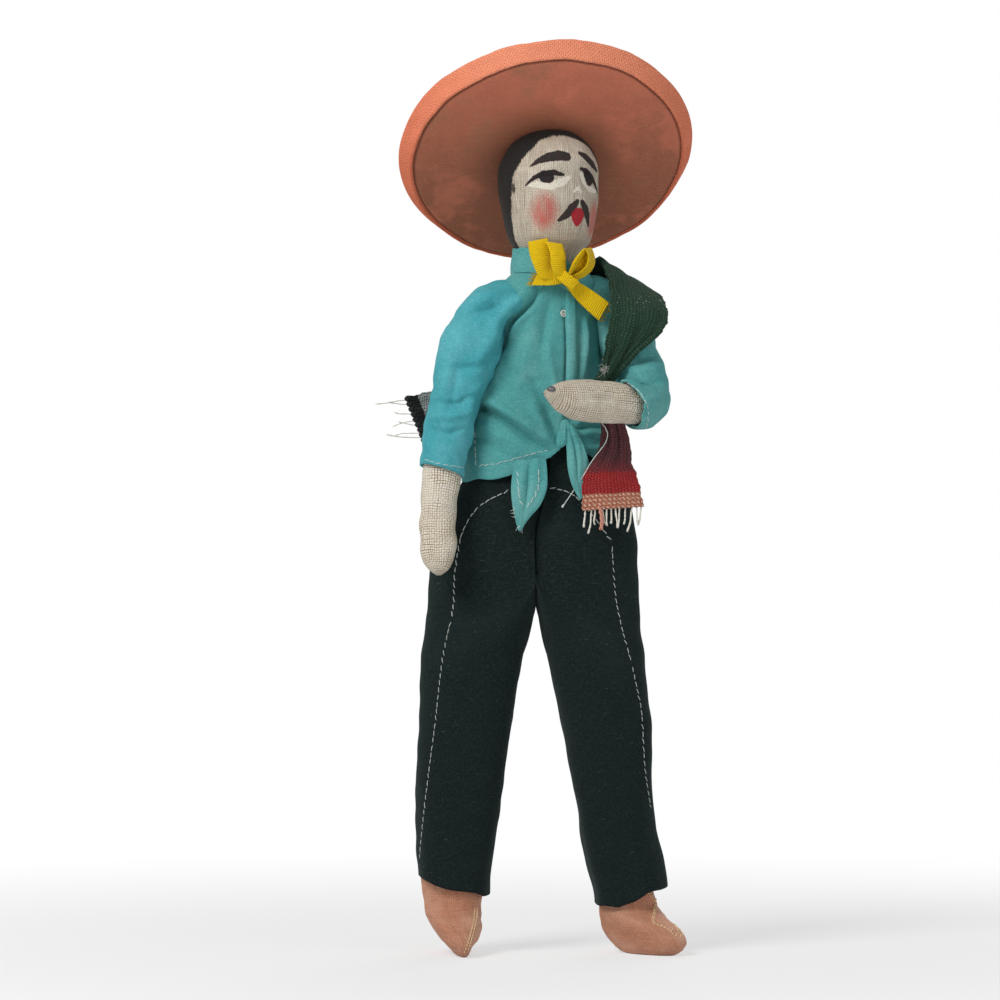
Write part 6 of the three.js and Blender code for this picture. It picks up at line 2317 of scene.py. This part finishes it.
SLEEVES = (dict(
    side="right",
    finish="sleeve",
    line=((-3, -2.2, 190.6, 5.6), (-9.2, -4.4, 188.8, 6.9), (-13.6, -5.9, 185.7, 7.7),
          (-16.7, -6.8, 180.7, 8.3),
          (-19.4, -7.6, 174, 9), (-22.4, -9, 164, 7.6), (-24.6, -10.2, 155, 7.2),
          (-26, -11.6, 147, 6.9), (-26.9, -12.9, 140.2, 6.5)),
    split=0.36,
    shoulder=((-9, -4.2, 190), (-18, -7.2, 182)),
    elbow=((-23.8, -9.6, 159), (-25.8, -11.2, 147.5)),
    folds=(
        *ARMHOLE_FOLDS,
        Fold(((-7.9, 186.6), (-12, 187.2), (-17.8, 186.4), (-21.5, 182.4)), 1.5, -1.9),
        Fold(((-6, 191.6), (-13, 191), (-20, 187.5)), 1.6, 0.9),
        Fold(((-11.5, 180), (-14.6, 175), (-18, 166)), 1.9, 1.7),
        Fold(((-11.6, 174), (-17, 170), (-25, 170)), 1.2, -1.3),
        Fold(((-20, 181), (-23, 174), (-24, 166)), 1.6, 1),
        Fold(((-14.5, 168), (-18.6, 161), (-20.6, 152)), 1.5, 1.5),
        Fold(((-16, 163), (-22, 159.6), (-29, 159.6)), 1, -1.4),
        Fold(((-18, 158), (-24, 155.6), (-31, 155.4)), 1.1, 1.1),
        Fold(((-19.6, 152.6), (-25, 151), (-31, 152.2)), 0.9, -1.1),
        Fold(((-25, 180), (-26.4, 168), (-28.6, 156)), 1.8, 0.9),
        Fold(((-22.4, 176), (-23, 166), (-24.8, 157)), 1.3, -1.1),
    ),
    stitched=photo((424, 459), (431, 461.5), (444, 465), (455, 466.5), (464, 468)),
    slant=-0.9,
), dict(
    side="left",
    line=((11, 3, 189.6, 6.2), (17.6, 3.8, 189.6, 7.8), (22.4, 3.4, 186.6, 8.2), (26.4, -0.6, 177.4, 8),
          (30.2, -6.6, 167.4, 7.5), (31.6, -10.6, 161, 7.2), (30.1, -14, 158.8, 6.9),
          (27, -16.8, 159.2, 6.6)),
    split=0.5,
    shoulder=((13, 3, 190), (24, 2, 182)),
    elbow=((30.8, -7.4, 166), (29.8, -14, 158.8)),
    folds=(
        Fold(((24, 176), (30, 173), (36.5, 174)), 1.3, -1),
        Fold(((24, 171), (30, 169), (37, 170)), 1.3, 0.9),
        Fold(((25, 166.4), (31, 165), (37, 166.4)), 1.1, -1),
        Fold(((26, 163), (31, 160), (36, 161)), 1.1, 0.8),
        Fold(((28, 158.4), (31.5, 155.6), (35, 156.6)), 0.9, -0.6),
    ),
    stitched=photo((619, 381), (627, 385), (635, 391), (641, 399), (645.5, 409), (646, 420), (644, 430)),
    slant=2.5,
))
HANDS = (
    dict(
        side="right",
        line=((-25.6, -10.8, 150, 4.6, 4.4), (-26.6, -12.4, 142, 5.3, 4.6), (-27.3, -13.6, 137, 5.5, 4.4),
              (-28, -15.6, 128, 5.1, 4.2), (-28, -17.4, 120, 5.3, 3.9), (-27.9, -18.5, 115, 4.6, 3.4),
              (-27.8, -19.2, 112, 3, 2.4), (-27.7, -19.6, 110.3, 0.7, 0.6)),
        wide=(1.0, 0.0, 0.0),
    ),
    dict(
        side="left",
        line=((29.6, -13.6, 158.6, 4.8, 4.6), (25, -16.9, 159.4, 5.6, 4.8), (18.5, -21.4, 160, 6, 4.4),
              (12.2, -26, 160.4, 5.9, 3.9), (8.6, -28.6, 160.8, 5, 3.6), (5.4, -30.9, 161.5, 3.4, 2.6),
              (3.4, -32.3, 162.1, 1.7, 1.5), (2.4, -33, 162.3, 0.6, 0.5)),
        wide=(0.0, 0.0, 1.0),
    ),
)
FEET = (
    dict(side="right", middle=-24.1, hem=18.6, toe=6.0, sole=1.6, slim=1.0, drift=1.9,
         seam=photo((476, 905), (475, 917), (471.5, 930), (466, 946))),
    dict(side="left", middle=27.1, hem=16.6, toe=50.0, rise=6.0,
         seam=photo((647, 890), (658, 903), (671, 916), (681, 934))),
)


def main() -> None:
    """Builds the doll."""
    logging.basicConfig(level=logging.INFO, format="%(name)s %(message)s")
    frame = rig.load()
    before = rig.bounds()
    space = Space.measured(NECK_X)
    studio = Studio(space)
    studio.camera()
    studio.build()
    LOG.info("%d nodes, shift %.3f %.3f mm", len(frame["nodes"]), space.x, space.y)

    body, collar = Shirt(space).build()
    for sleeve in SLEEVES:
        Sleeve(space, **sleeve).build()
    hands = [Hand(space, **hand).build() for hand in HANDS]
    Nail(space, hand=hands[-1]).build()
    Head(space).build()
    Hat(space).build()
    Bow(space, shirt=Caster(space, body, collar)).build()
    trousers = [Trouser(space, cut=cut).build() for cut in (RIGHT_CUT, LEFT_CUT)]
    for foot in FEET:
        Foot(space, **foot).build()
    sarape = Sarape(space).build()
    Thread(space).build(Caster(space, sarape, body, *trousers))
    keep_sizes("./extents.json", [before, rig.bounds()])


if __name__ == "__main__":
    main()
